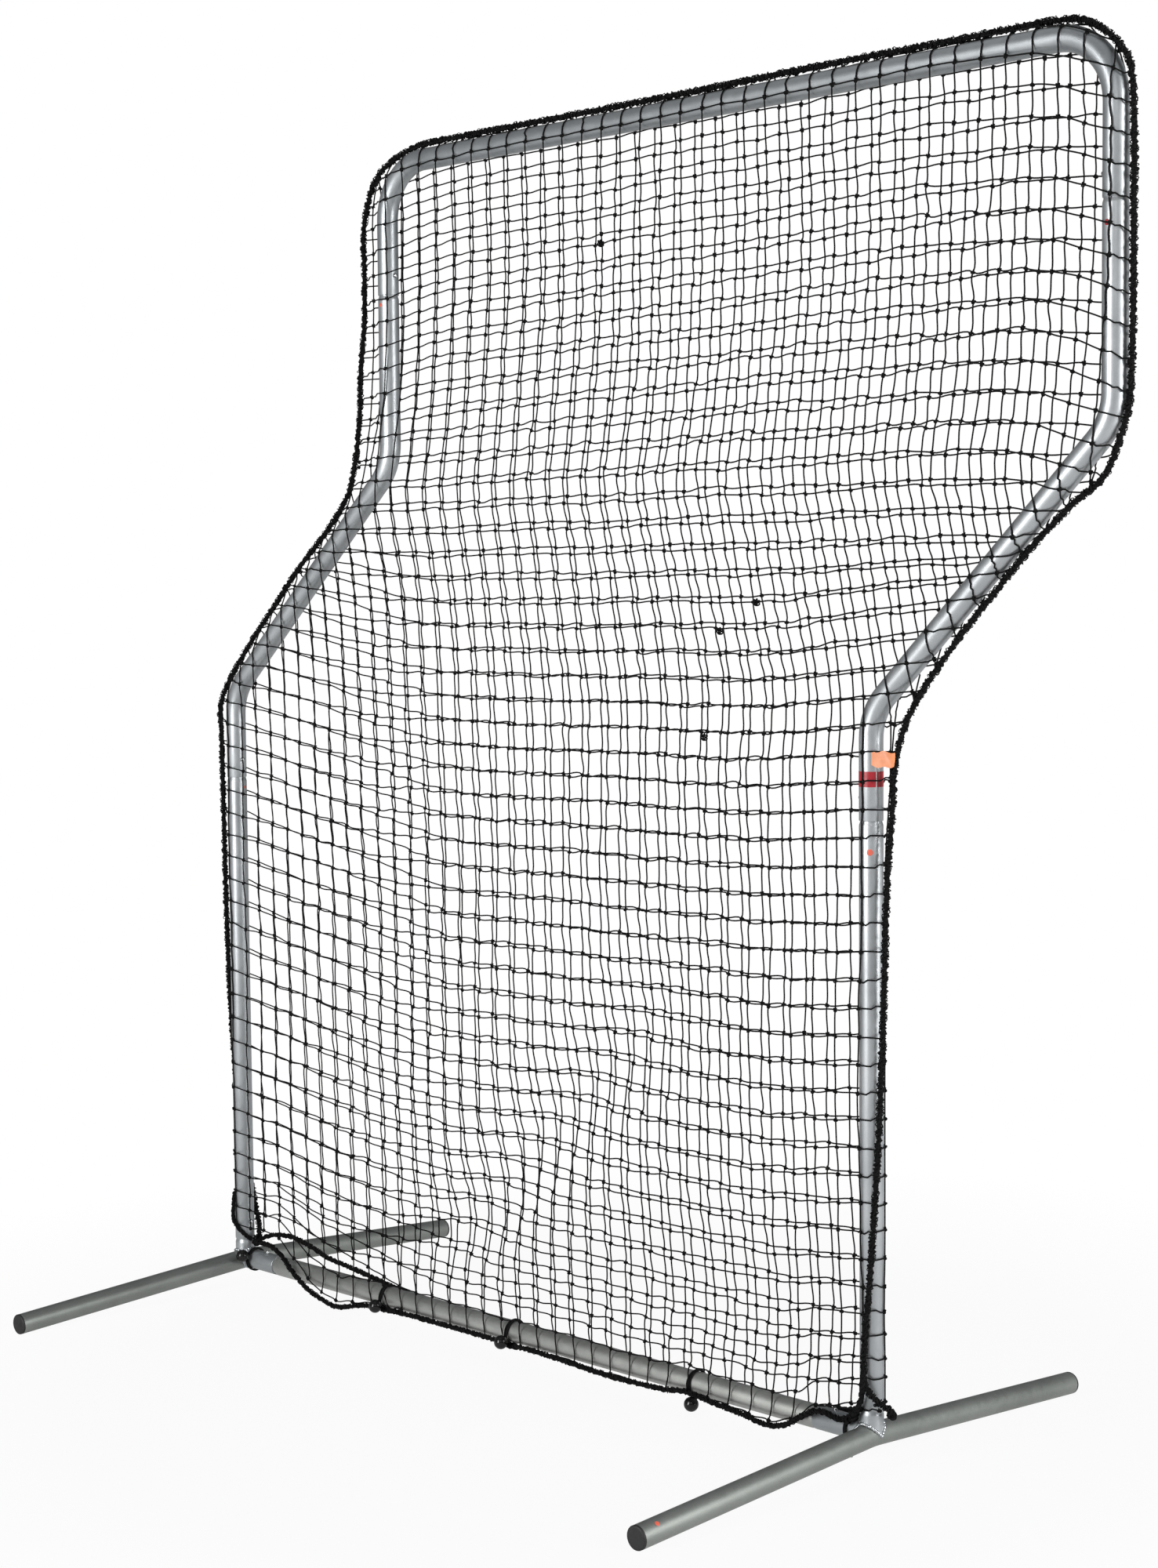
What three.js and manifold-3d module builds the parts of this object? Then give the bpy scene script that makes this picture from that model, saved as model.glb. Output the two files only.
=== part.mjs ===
// Offset (Z-shaped) rebound screen: a knock-down round-tube frame on two arched feet, carrying a
// two-layer pillowcase net that is laced along its edge and strapped to the bottom rail by ball bungees.
// Millimetres, +Z up. The front faces -Y, the frame spans X, and the feet run front to back along Y.

import * as THREE from 'three';
import { mergeVertices } from 'three/addons/utils/BufferGeometryUtils.js';
import Module from 'manifold-3d';

const wasm = await Module();
wasm.setup();

// ---------------------------------------------------------------- driving dimensions

const TUBE_R = 19.05;                       // 38.1 mm (1 1/2 in) round tube
const WALL = 1.5;
const SIDES = 16;                           // facets round every tube, one of them facing straight down
const FACET = 2 * Math.PI / SIDES;
const FIT = 0.35;                           // radial gap between a swaged neck and the socket over it
const GAP = 0.3;                            // gap left between pieces that touch

const LOWER_MID_X = -212.57;                // middle of the lower frame, from the middle of the whole screen
const LOWER_X = 812;                        // each lower upright, from the middle of the lower frame
const UPPER_LEFT_X = -327;                  // the upper frame is stepped sideways on its two offset tubes
const UPPER_RIGHT_X = 1257;

const FOOT_HALF = 526.5;                    // half the length of a foot tube, without its plugs
const FOOT_TIP_Z = TUBE_R * Math.cos(FACET / 2);
const FOOT_CROWN_Z = 49.5;                  // a foot is arched: its middle stands higher than its tips
const FOOT_KINK_R = 260;
const PLUG_HEAD = 4.5;
const PLUG_SHANK = 22;
const RAIL_Z = 53.5;
const RAIL_STUB = 109;                      // a rail stub's mouth, from the foot it is welded to
const LOW_JOINT_Z = 92;
const MID_JOINT_Z = 1020;
const HIGH_JOINT_Z = 1924;
const LOW_BEND_Z = 1187;
const HIGH_BEND_Z = 1613;
const TOP_Z = 2158;
const BEND_R = 95;
const CORNER_R = 100;

const NECK = 62;                            // length of a swaged neck
const SHOULDER = 9;                         // length of the taper that leads to it
const SWAGE = WALL + FIT;                   // how far swaging shrinks the tube's radius
const BUTTON_SETBACK = 35;                  // a snap button, from the end of the tube that it locks
const BUTTON_R = 4;
const BUTTON_PROUD = 4.5;
const BUTTON_HOLE_R = 4.5;

const NET_T = 2.4;
const NET_Y = 21.3;                         // inner face of each net layer
const NET_BOTTOM_Z = 118;
const ROPE_R = 4.5;
const ROPE_SIDES = 8;

const BALL_R = 12.5;
const ELASTIC_R = 2.1;
const LOOP_R = TUBE_R + 0.4 + ELASTIC_R;    // radius of the elastic loop's centre line
const BALL_OUT = LOOP_R + ELASTIC_R + GAP + BALL_R;

// ---------------------------------------------------------------- materials

const STEEL = new THREE.MeshStandardMaterial({ color: 0x8d959b, roughness: 0.38, metalness: 0.75 });
const WELD = new THREE.MeshStandardMaterial({ color: 0xb4b9bd, roughness: 0.3, metalness: 0.9 });
const PLUG = new THREE.MeshStandardMaterial({ color: 0x17181a, roughness: 0.6, metalness: 0 });
const SPRING = new THREE.MeshStandardMaterial({ color: 0xc3c6c9, roughness: 0.22, metalness: 1 });
const TWINE = new THREE.MeshStandardMaterial({ color: 0x101113, roughness: 0.85, metalness: 0 });
const BALL = new THREE.MeshStandardMaterial({ color: 0x0c0c0d, roughness: 0.25, metalness: 0 });

// ---------------------------------------------------------------- geometry helpers

const vec = (x, y, z) => new THREE.Vector3(x, y, z);
const X = vec(1, 0, 0);
const Y = vec(0, 1, 0);
const Z = vec(0, 0, 1);

// A path given by stations, each a point and a tangent, so that a sweep has a section exactly at each.
class StationPath extends THREE.Curve {
  constructor(stations) {
    super();
    this.stations = stations;
  }

  getUtoTmapping(u) {
    return u;
  }

  getPoint(t, target = vec(0, 0, 0)) {
    return target.copy(this.at(t).point);
  }

  getTangent(t, target = vec(0, 0, 0)) {
    return target.copy(this.at(t).tangent);
  }

  at(t) {
    return this.stations[Math.round(t * (this.stations.length - 1))];
  }
}

// Straight runs through the corners, joined by bends of one radius. headCuts and tailCuts add stations
// at those distances from the first and from the last point.
function bentPath(corners, radius = 0, { bendSteps = 6, headCuts = [], tailCuts = [] } = {}) {
  const stations = [];
  const add = (point, tangent) => stations.push({ point, tangent: tangent.clone().normalize() });
  const first = corners[1].clone().sub(corners[0]).normalize();
  const last = corners.at(-1).clone().sub(corners.at(-2)).normalize();
  add(corners[0], first);
  headCuts.forEach((d) => add(corners[0].clone().addScaledVector(first, d), first));
  for (let i = 1; i < corners.length - 1; i++) {
    const into = corners[i].clone().sub(corners[i - 1]).normalize();
    const out = corners[i + 1].clone().sub(corners[i]).normalize();
    const turn = into.angleTo(out);
    const side = out.clone().addScaledVector(into, -into.dot(out)).normalize();
    const start = corners[i].clone().addScaledVector(into, -radius * Math.tan(turn / 2));
    for (let k = 0; k <= bendSteps; k++) {
      const a = turn * k / bendSteps;
      const point = start.clone()
        .addScaledVector(into, radius * Math.sin(a))
        .addScaledVector(side, radius * (1 - Math.cos(a)));
      add(point, into.clone().multiplyScalar(Math.cos(a)).addScaledVector(side, Math.sin(a)));
    }
  }
  tailCuts.forEach((d) => add(corners.at(-1).clone().addScaledVector(last, -d), last));
  add(corners.at(-1), last);
  return new StationPath(stations);
}

// A smooth path through points set by hand, with a station at every point.
function ropePath(points) {
  const curve = new THREE.CatmullRomCurve3(points);
  const n = points.length - 1;
  return new StationPath(points.map((point, i) => ({ point, tangent: curve.getTangent(i / n) })));
}

// A regular polygon with a facet, not a corner, on each axis.
function ring(radius, sides) {
  return Array.from({ length: sides }, (_, i) => {
    const a = (i + 0.5) * 2 * Math.PI / sides;
    return new THREE.Vector2(radius * Math.cos(a), radius * Math.sin(a));
  });
}

function sweep(path, radius, bore = 0, sides = SIDES) {
  const section = new THREE.Shape(ring(radius, sides));
  if (bore > 0) section.holes.push(new THREE.Path(ring(bore, sides)));
  const steps = path.stations.length - 1;
  return new THREE.ExtrudeGeometry(section, { steps, extrudePath: path, bevelEnabled: false });
}

// Shrinks the part of a tube that lies beyond a point of its axis, as swaging a neck does.
function swage(geometry, from, direction) {
  const position = geometry.getAttribute('position');
  const p = vec(0, 0, 0);
  for (let i = 0; i < position.count; i++) {
    p.fromBufferAttribute(position, i).sub(from);
    const along = p.dot(direction);
    if (along < -0.01) continue;
    p.addScaledVector(direction, -along);
    p.setLength(p.length() - SWAGE).addScaledVector(direction, along).add(from);
    position.setXYZ(i, p.x, p.y, p.z);
  }
  return geometry;
}

function toSolid(geometry) {
  const bare = new THREE.BufferGeometry();
  bare.setAttribute('position', geometry.getAttribute('position'));
  if (geometry.index) bare.setIndex(geometry.index);
  const merged = mergeVertices(bare, 1e-3);
  return new wasm.Manifold(new wasm.Mesh({
    numProp: 3,
    vertProperties: new Float32Array(merged.attributes.position.array),
    triVerts: new Uint32Array(merged.index.array),
  }));
}

function cut(geometry, ...cutters) {
  const solid = cutters.reduce((left, cutter) => left.subtract(toSolid(cutter)), toSolid(geometry));
  const { vertProperties, triVerts } = solid.getMesh();
  const made = new THREE.BufferGeometry();
  made.setAttribute('position', new THREE.BufferAttribute(vertProperties, 3));
  made.setIndex(new THREE.BufferAttribute(triVerts, 1));
  return made;
}

// Turns a shape made along +Y to lie along a direction, and moves it to a point.
function aim(geometry, direction, point) {
  const turn = new THREE.Quaternion().setFromUnitVectors(Y, direction);
  return geometry.applyQuaternion(turn).translate(point.x, point.y, point.z);
}

// The drill that opens a tube's wall on one side, for a snap button.
function buttonDrill(point, out) {
  const depth = TUBE_R;
  const drill = new THREE.CylinderGeometry(BUTTON_HOLE_R, BUTTON_HOLE_R, depth, 12);
  return aim(drill.translate(0, depth / 2 + TUBE_R / 2, 0), out, point);
}

const along = (direction, from, distance) => from.clone().addScaledVector(direction, distance);

// ---------------------------------------------------------------- the assembly

const screen = new THREE.Group();
const lowerFrame = new THREE.Group();       // its origin is the middle of the lower frame, on the ground
lowerFrame.position.x = LOWER_MID_X;
screen.add(lowerFrame);

function addPiece(name, geometry, material, position) {
  const mesh = new THREE.Mesh(geometry, material);
  mesh.name = name;
  if (position) mesh.position.copy(position);
  lowerFrame.add(mesh);
}

// A snap button's dome, shank and inner flange, and the V spring under it. Both sit inside the neck of
// the inner tube; the dome passes through that neck and through the outer tube.
const NECK_INSIDE = (TUBE_R - WALL - SWAGE) * Math.cos(FACET / 2);
const DOME_TOP = TUBE_R + BUTTON_PROUD;
const FLANGE = { radius: 6, bottom: NECK_INSIDE - 2.8, top: NECK_INSIDE - 1.6 };
const LEAF = { thickness: 0.8, width: 9, length: 46, tail: 9 };

function snapButton(name, point, out, inward) {
  const profile = [
    [0, FLANGE.bottom], [FLANGE.radius, FLANGE.bottom], [FLANGE.radius, FLANGE.top],
    [BUTTON_R, FLANGE.top], [BUTTON_R, DOME_TOP - 2], [BUTTON_R * 0.72, DOME_TOP - 0.6], [0, DOME_TOP],
  ].map(([r, h]) => new THREE.Vector2(r, h));
  addPiece(`${name}_button`, aim(new THREE.LatheGeometry(profile, 12), out, point), SPRING);

  const front = FLANGE.bottom - GAP;
  const back = -(NECK_INSIDE - 1);
  const wall = LEAF.thickness;
  const outline = new THREE.Shape([
    [wall / 2, -LEAF.length], [front, 0], [front, LEAF.tail], [front - wall, LEAF.tail],
    [front - wall, 0], [0, -LEAF.length + 5],
    [back + wall, 0], [back + wall, LEAF.tail], [back, LEAF.tail], [back, 0], [-wall / 2, -LEAF.length],
  ].map(([x, y]) => new THREE.Vector2(x, y)));
  const leaf = new THREE.ExtrudeGeometry(outline, { depth: LEAF.width, bevelEnabled: false });
  leaf.translate(0, 0, -LEAF.width / 2);
  const side = out.clone().cross(inward);
  leaf.applyMatrix4(new THREE.Matrix4().makeBasis(out, inward, side));
  addPiece(`${name}_spring`, leaf.translate(point.x, point.y, point.z), SPRING);
}

// ---------------------------------------------------------------- feet

function addFoot(side, x, inside) {
  const crown = vec(x, 0, FOOT_CROWN_Z);
  const tips = [-1, 1].map((end) => vec(x, end * FOOT_HALF, FOOT_TIP_Z));
  const path = bentPath([tips[0], crown, tips[1]], FOOT_KINK_R, { bendSteps: 4 });
  // The tube's ends are sawn upright, so that the plugs' faces stand square to the ground.
  path.stations[0].tangent = Y.clone();
  path.stations.at(-1).tangent = Y.clone();
  addPiece(`${side}_foot_tube`, sweep(path, TUBE_R, TUBE_R - WALL), STEEL);

  const footEnvelope = sweep(path, TUBE_R + GAP);
  const stubTop = vec(x, 0, LOW_JOINT_Z + NECK);
  const stubPath = bentPath([crown, stubTop], 0, { tailCuts: [NECK + SHOULDER, NECK] });
  const uprightStub = swage(sweep(stubPath, TUBE_R, TUBE_R - WALL), vec(x, 0, LOW_JOINT_Z), Z);
  const buttonAt = vec(x, 0, LOW_JOINT_Z + BUTTON_SETBACK);
  addPiece(`${side}_upright_stub`, cut(uprightStub, footEnvelope, buttonDrill(buttonAt, inside)), STEEL);
  snapButton(`${side}_foot`, buttonAt, inside, Z.clone());

  const railEnd = vec(x, 0, RAIL_Z);
  const mouth = along(inside, railEnd, RAIL_STUB);
  const stubEnvelope = sweep(bentPath([crown, stubTop]), TUBE_R + GAP);
  const railDrill = buttonDrill(along(inside, mouth, -BUTTON_SETBACK), Z);
  const railStub = sweep(bentPath([railEnd, mouth]), TUBE_R, TUBE_R - WALL);
  addPiece(`${side}_rail_stub`, cut(railStub, footEnvelope, stubEnvelope, railDrill), STEEL);

  // The weld bead lies in the saddle between the upright stub and the foot.
  const beadR = 2.2;
  const saddleR = TUBE_R + GAP + beadR;
  const bead = new THREE.TorusGeometry(saddleR, beadR, 6, 24);
  const position = bead.getAttribute('position');
  for (let i = 0; i < position.count; i++) {
    const bearing = Math.atan2(position.getY(i), position.getX(i));
    position.setZ(i, position.getZ(i) + saddleR * Math.abs(Math.sin(bearing)));
  }
  const railEnvelope = sweep(bentPath([railEnd, mouth]), TUBE_R + GAP);
  const saddle = bead.translate(x, 0, FOOT_CROWN_Z);
  addPiece(`${side}_upright_weld`, cut(saddle, railEnvelope, footEnvelope), WELD);

  addPiece(`${side}_front_plug`, endPlug().rotateZ(Math.PI), PLUG, tips[0]);
  addPiece(`${side}_rear_plug`, endPlug(), PLUG, tips[1]);
}

// A plug's head stands square to the ground, and its shank leans with the foot tube that it fills.
function endPlug() {
  const shankR = TUBE_R - WALL - FIT;
  const profile = [
    [0, -PLUG_SHANK], [shankR - 2, -PLUG_SHANK], [shankR, -PLUG_SHANK + 4], [shankR, 0], [shankR, GAP],
    [TUBE_R, GAP], [TUBE_R, PLUG_HEAD - 1], [TUBE_R - 1, PLUG_HEAD], [0, PLUG_HEAD],
  ].map(([r, h]) => new THREE.Vector2(r, h));
  const plug = new THREE.LatheGeometry(profile, SIDES, FACET / 2);
  const slope = (FOOT_CROWN_Z - FOOT_TIP_Z) / FOOT_HALF;
  const position = plug.getAttribute('position');
  for (let i = 0; i < position.count; i++) {
    const depth = Math.max(0, -position.getY(i));
    position.setZ(i, position.getZ(i) + slope * depth);
  }
  return plug;
}

// ---------------------------------------------------------------- uprights, offset tubes and rails

function addUpright(side, x, inside) {
  const foot = vec(x, 0, LOW_JOINT_Z);
  const top = vec(x, 0, MID_JOINT_Z + NECK);
  const path = bentPath([foot, top], 0, { tailCuts: [NECK + SHOULDER, NECK] });
  const tube = swage(sweep(path, TUBE_R, TUBE_R - WALL), vec(x, 0, MID_JOINT_Z), Z);
  const buttonAt = vec(x, 0, MID_JOINT_Z + BUTTON_SETBACK);
  const socketHole = buttonDrill(vec(x, 0, LOW_JOINT_Z + BUTTON_SETBACK), inside);
  addPiece(`${side}_lower_upright`, cut(tube, socketHole, buttonDrill(buttonAt, inside)), STEEL);
  snapButton(`${side}_middle`, buttonAt, inside, Z.clone());
}

function addOffsetTube(side, lowX, highX, inside) {
  const corners = [
    vec(lowX, 0, MID_JOINT_Z), vec(lowX, 0, LOW_BEND_Z),
    vec(highX, 0, HIGH_BEND_Z), vec(highX, 0, HIGH_JOINT_Z + NECK),
  ];
  const path = bentPath(corners, BEND_R, { tailCuts: [NECK + SHOULDER, NECK] });
  const tube = swage(sweep(path, TUBE_R, TUBE_R - WALL), vec(highX, 0, HIGH_JOINT_Z), Z);
  const buttonAt = vec(highX, 0, HIGH_JOINT_Z + BUTTON_SETBACK);
  const socketHole = buttonDrill(vec(lowX, 0, MID_JOINT_Z + BUTTON_SETBACK), inside);
  addPiece(`${side}_offset_tube`, cut(tube, socketHole, buttonDrill(buttonAt, inside)), STEEL);
  snapButton(`${side}_upper`, buttonAt, inside, Z.clone());
}

function addTopBar() {
  const corners = [
    vec(UPPER_LEFT_X, 0, HIGH_JOINT_Z), vec(UPPER_LEFT_X, 0, TOP_Z),
    vec(UPPER_RIGHT_X, 0, TOP_Z), vec(UPPER_RIGHT_X, 0, HIGH_JOINT_Z),
  ];
  const tube = sweep(bentPath(corners, CORNER_R, { bendSteps: 10 }), TUBE_R, TUBE_R - WALL);
  const holeZ = HIGH_JOINT_Z + BUTTON_SETBACK;
  const holes = [
    buttonDrill(vec(UPPER_LEFT_X, 0, holeZ), X),
    buttonDrill(vec(UPPER_RIGHT_X, 0, holeZ), X.clone().negate()),
  ];
  addPiece('top_bar', cut(tube, ...holes), STEEL);
}

function addBottomRail() {
  const shoulderX = LOWER_X - RAIL_STUB;
  const tip = shoulderX + NECK;
  const cuts = [NECK, NECK + SHOULDER];
  const path = bentPath([vec(-tip, 0, RAIL_Z), vec(tip, 0, RAIL_Z)], 0, {
    headCuts: cuts, tailCuts: cuts.toReversed(),
  });
  const tube = sweep(path, TUBE_R, TUBE_R - WALL);
  swage(tube, vec(shoulderX, 0, RAIL_Z), X);
  swage(tube, vec(-shoulderX, 0, RAIL_Z), X.clone().negate());
  const buttonX = shoulderX + BUTTON_SETBACK;
  const ends = [['left', -1], ['right', 1]].map(([side, sign]) => ({
    side, point: vec(sign * buttonX, 0, RAIL_Z), inward: X.clone().multiplyScalar(sign),
  }));
  addPiece('bottom_rail', cut(tube, ...ends.map(({ point }) => buttonDrill(point, Z))), STEEL);
  ends.forEach(({ side, point, inward }) => snapButton(`${side}_rail`, point, Z.clone(), inward));
}

// ---------------------------------------------------------------- net, ropes and bungees

// The lacing rope's route: up the left side, along the top and down the right side. It lies beside the
// tubes, cuts straight across the hollow side of each bend, and near the ground turns with the net
// round the uprights: behind the left one and in front of the right one.
const SEAM_ROUTE = [
  [-786, 12, 88], [-788, 18, 102], [-802, 27, 120], [-812, 29, 146], [-832, 25, 236], [-842, 16, 340],
  [-846, 6, 450], [-847, 0, 560], [-853, 0, 700], [-857, 0, 850], [-859, 0, 1000], [-861, 0, 1105],
  [-862, 0, 1160], [-828, 0, 1215], [-756, 0, 1290], [-680, 0, 1360], [-604, 0, 1430], [-531, 0, 1487],
  [-478, 0, 1535], [-447, 0, 1575], [-426, 0, 1640], [-414, 0, 1715], [-409, 0, 1800], [-397, 0, 1880],
  [-395, 0, 1970], [-396, 0, 2040], [-384, 0, 2090], [-362, 0, 2133], [-316, 0, 2164], [-234, 0, 2184],
  [-110, 0, 2186], [190, 0, 2185], [480, 0, 2185], [730, 0, 2186], [1000, 0, 2185], [1150, 0, 2185],
  [1203, 0, 2178], [1231, 0, 2163], [1256, 0, 2142], [1276, 0, 2116], [1284, 0, 2080], [1287, 0, 2010],
  [1287, 0, 1900], [1287, 0, 1780], [1285, 0, 1690], [1283, 0, 1648], [1273, 0, 1605], [1240, 0, 1535],
  [1187, 0, 1498], [1118, 0, 1440], [1047, 0, 1370], [980, 0, 1302], [912, 0, 1222], [876, 0, 1163],
  [859, 0, 1105], [853, 0, 1030], [848, -6, 920], [847, -10, 800], [844, -11, 700], [841, -12, 620],
  [838, -14, 530], [834, -18, 430], [829, -21, 340], [823, -25, 250], [819, -28, 180], [821, -29, 143],
  [833, -26, 121], [846, -15, 107], [852, -3, 97], [853, 6, 87],
];

// The front layer's hem hangs in a swag from the left corner, then follows the rail's lower front edge
// past the bungees and swags again before the right corner. The rear layer's hem stays behind the rail.
const FRONT_HEM_ROUTE = [
  [-768, -12, 92], [-740, -20, 97], [-712, -25, 99], [-690, -27, 98], [-667, -29, 91], [-645, -30, 80],
  [-626, -31, 65], [-600, -31, 49], [-570, -31, 34], [-520, -31, 21], [-480, -31, 15], [-440, -29, 18],
  [-400, -21, 23], [-365, -13, 26], [-325, -21, 32], [-260, -24, 33], [-195, -24, 34], [-60, -23, 34],
  [-15, -13, 27], [30, -22, 32], [186, -24, 32], [300, -24, 33], [385, -27, 38], [434, -27, 44],
  [500, -26, 38], [565, -28, 34], [611, -30, 29], [653, -30, 36], [690, -29, 58], [718, -28, 73],
  [743, -28, 75], [763, -28, 71], [785, -26, 74],
];
const REAR_HEM_ROUTE = [
  [-778, 11, 92], [-744, 21, 104], [-705, 24, 108], [-671, 25, 106], [-620, 25, 96], [-574, 25, 85],
  [-490, 26, 76], [-429, 27, 68], [-365, 29, 60], [-270, 28, 53], [-120, 28, 50], [60, 28, 50],
  [250, 28, 50], [434, 29, 51], [600, 28, 52], [690, 26, 60], [735, 25, 67], [785, 16, 80],
];

function addRope(name, route) {
  const points = route.map(([x, y, z]) => vec(x, y, z));
  addPiece(name, sweep(ropePath(points), ROPE_R, 0, ROPE_SIDES), TWINE);
}

// A net layer is laced to the seam rope, except low down on the side where the rope itself has moved
// round the upright to this layer's face: there the layer stops short of the rope.
const SHORT_BELOW_Z = 620;
const SHORT_X = LOWER_X - 20;

function addNetLayer(name, y, shortSide) {
  const edge = SEAM_ROUTE.map(([x, , z]) => [x, z]).filter(([, z]) => z > NET_BOTTOM_Z + 10);
  const outline = edge.filter(([x, z]) => Math.sign(x) !== shortSide || z > SHORT_BELOW_Z);
  const leftFoot = shortSide < 0 ? [[-SHORT_X, NET_BOTTOM_Z], [-SHORT_X, SHORT_BELOW_Z]]
    : [[-LOWER_X - 8, NET_BOTTOM_Z]];
  const rightFoot = shortSide > 0 ? [[SHORT_X, SHORT_BELOW_Z], [SHORT_X, NET_BOTTOM_Z]]
    : [[LOWER_X + 8, NET_BOTTOM_Z]];
  const points = [...leftFoot, ...outline, ...rightFoot].map(([x, z]) => new THREE.Vector2(x, z));
  const layer = new THREE.ExtrudeGeometry(new THREE.Shape(points), { depth: NET_T, bevelEnabled: false });
  addPiece(name, layer.rotateX(Math.PI / 2).translate(0, y, 0), TWINE);
}

// Each ball bungee is an elastic loop round the rail with a ball that hangs from it: its place along
// the rail, and the ball's bearing round the rail, in degrees up from straight forward.
const BUNGEES = [
  { name: 'bungee_1', x: -777, bearing: 20 },
  { name: 'bungee_2', x: -365, bearing: -20 },
  { name: 'bungee_3', x: -15, bearing: -20 },
  { name: 'bungee_4', x: 434, bearing: -67 },
  { name: 'bungee_5', x: 774, bearing: -160 },
];

function addBungee({ name, x, bearing }) {
  const centre = vec(x, 0, RAIL_Z);
  const loop = new THREE.TorusGeometry(LOOP_R, ELASTIC_R, 6, 20).rotateY(Math.PI / 2);
  addPiece(`${name}_loop`, loop, TWINE, centre);
  const a = THREE.MathUtils.degToRad(bearing);
  const ball = new THREE.SphereGeometry(BALL_R, 14, 9);
  const toBall = vec(0, -Math.cos(a), Math.sin(a));
  addPiece(`${name}_ball`, ball, BALL, along(toBall, centre, BALL_OUT));
}

// ---------------------------------------------------------------- build

for (const [side, sign, highX] of [['left', -1, UPPER_LEFT_X], ['right', 1, UPPER_RIGHT_X]]) {
  const inside = X.clone().multiplyScalar(-sign);
  addFoot(side, sign * LOWER_X, inside);
  addUpright(side, sign * LOWER_X, inside);
  addOffsetTube(side, sign * LOWER_X, highX, inside);
}
addTopBar();
addBottomRail();
addNetLayer('net_front', -NET_Y, 1);
addNetLayer('net_rear', NET_Y + NET_T, -1);
addRope('seam_rope', SEAM_ROUTE);
addRope('front_hem_rope', FRONT_HEM_ROUTE);
addRope('rear_hem_rope', REAR_HEM_ROUTE);
BUNGEES.forEach(addBungee);

export default screen;
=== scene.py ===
import math

import bpy
import numpy as np
from mathutils import Matrix, Vector


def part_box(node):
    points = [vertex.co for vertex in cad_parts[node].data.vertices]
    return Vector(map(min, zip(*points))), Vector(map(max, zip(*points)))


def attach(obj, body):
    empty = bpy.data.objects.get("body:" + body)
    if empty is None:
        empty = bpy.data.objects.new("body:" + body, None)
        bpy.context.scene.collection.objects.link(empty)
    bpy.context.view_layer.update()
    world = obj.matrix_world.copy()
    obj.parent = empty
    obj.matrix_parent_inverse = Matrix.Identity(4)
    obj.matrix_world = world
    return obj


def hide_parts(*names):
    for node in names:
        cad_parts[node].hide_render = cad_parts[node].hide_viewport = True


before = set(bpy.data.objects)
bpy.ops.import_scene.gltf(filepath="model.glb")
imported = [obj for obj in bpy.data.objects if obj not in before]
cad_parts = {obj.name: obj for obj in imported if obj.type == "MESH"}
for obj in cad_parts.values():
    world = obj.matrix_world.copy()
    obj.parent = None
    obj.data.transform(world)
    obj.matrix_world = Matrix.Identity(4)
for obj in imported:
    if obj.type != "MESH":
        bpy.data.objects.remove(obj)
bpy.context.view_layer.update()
rng = np.random.default_rng(7)
MM = 0.001


# ------------------------------------------------------------------ sizes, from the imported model

def span(node, axis):
    """A node's lowest and highest place along an axis."""
    low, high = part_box(node)
    return low[axis] / MM, high[axis] / MM


def middle(node, axis):
    return sum(span(node, axis)) / 2


X, Y, Z = 0, 1, 2
CAD_SIDES = 16
TUBE_R = (span("bottom_rail", Y)[1] - span("bottom_rail", Y)[0]) / 2 / math.cos(math.pi / CAD_SIDES)
APOTHEM = TUBE_R * math.cos(math.pi / CAD_SIDES)
WALL = 1.5
SWAGE = WALL + 0.35                     # how far a swaged neck shrinks from the tube's radius
SHOULDER = 9
NECK = 62
BUTTON_SETBACK = 35

LEFT_X = middle("left_lower_upright", X)
RIGHT_X = middle("right_lower_upright", X)
LOWER_MID_X = (LEFT_X + RIGHT_X) / 2
UPPER_LEFT_X = span("top_bar", X)[0] + APOTHEM
UPPER_RIGHT_X = span("top_bar", X)[1] - APOTHEM
TOP_Z = span("top_bar", Z)[1] - APOTHEM
RAIL_Z = middle("bottom_rail", Z)
LOW_JOINT_Z = span("left_lower_upright", Z)[0]
MID_JOINT_Z = span("left_offset_tube", Z)[0]
HIGH_JOINT_Z = span("top_bar", Z)[0]
RAIL_SHOULDER = span("bottom_rail", X)[1] - LOWER_MID_X - NECK
FOOT_HALF = span("left_foot_tube", Y)[1]
FOOT_TIP_Z = APOTHEM
FOOT_CROWN_Z = 49.5
FOOT_KINK_R = 260
LOW_BEND_Z = 1187
HIGH_BEND_Z = 1613
BEND_R = 95
CORNER_R = 100

TWINE_R = 1.3
WRAP_R = TUBE_R + TWINE_R + 0.3         # radius at which the net lies on a tube


# ------------------------------------------------------------------ camera, floor and light

def aim_camera():
    """The view: 45.8 degrees round from the front, 4 degrees above, from 4.7 m away."""
    azimuth, elevation, roll = math.radians(45.815), math.radians(3.992), math.radians(-0.50)
    ahead = np.array([-math.sin(azimuth) * math.cos(elevation),
                      math.cos(azimuth) * math.cos(elevation),
                      -math.sin(elevation)])
    right = np.array([math.cos(azimuth), math.sin(azimuth), 0])
    up = np.cross(right, ahead)
    rolled_right = right * math.cos(roll) + up * math.sin(roll)
    rolled_up = up * math.cos(roll) - right * math.sin(roll)
    camera = bpy.data.cameras.new("camera")
    camera.sensor_width = 36
    camera.lens = 61.05
    camera.clip_end = 100
    holder = bpy.data.objects.new("camera", camera)
    bpy.context.scene.collection.objects.link(holder)
    place = (LOWER_MID_X * MM + 3.4426, -3.1878, 1.3675)
    columns = (rolled_right, rolled_up, -ahead)          # the camera looks along its own -Z
    rows = [[*(float(c[i]) for c in columns), place[i]] for i in range(3)]
    holder.matrix_world = Matrix([*rows, [0, 0, 0, 1]])
    bpy.context.scene.camera = holder


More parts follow.
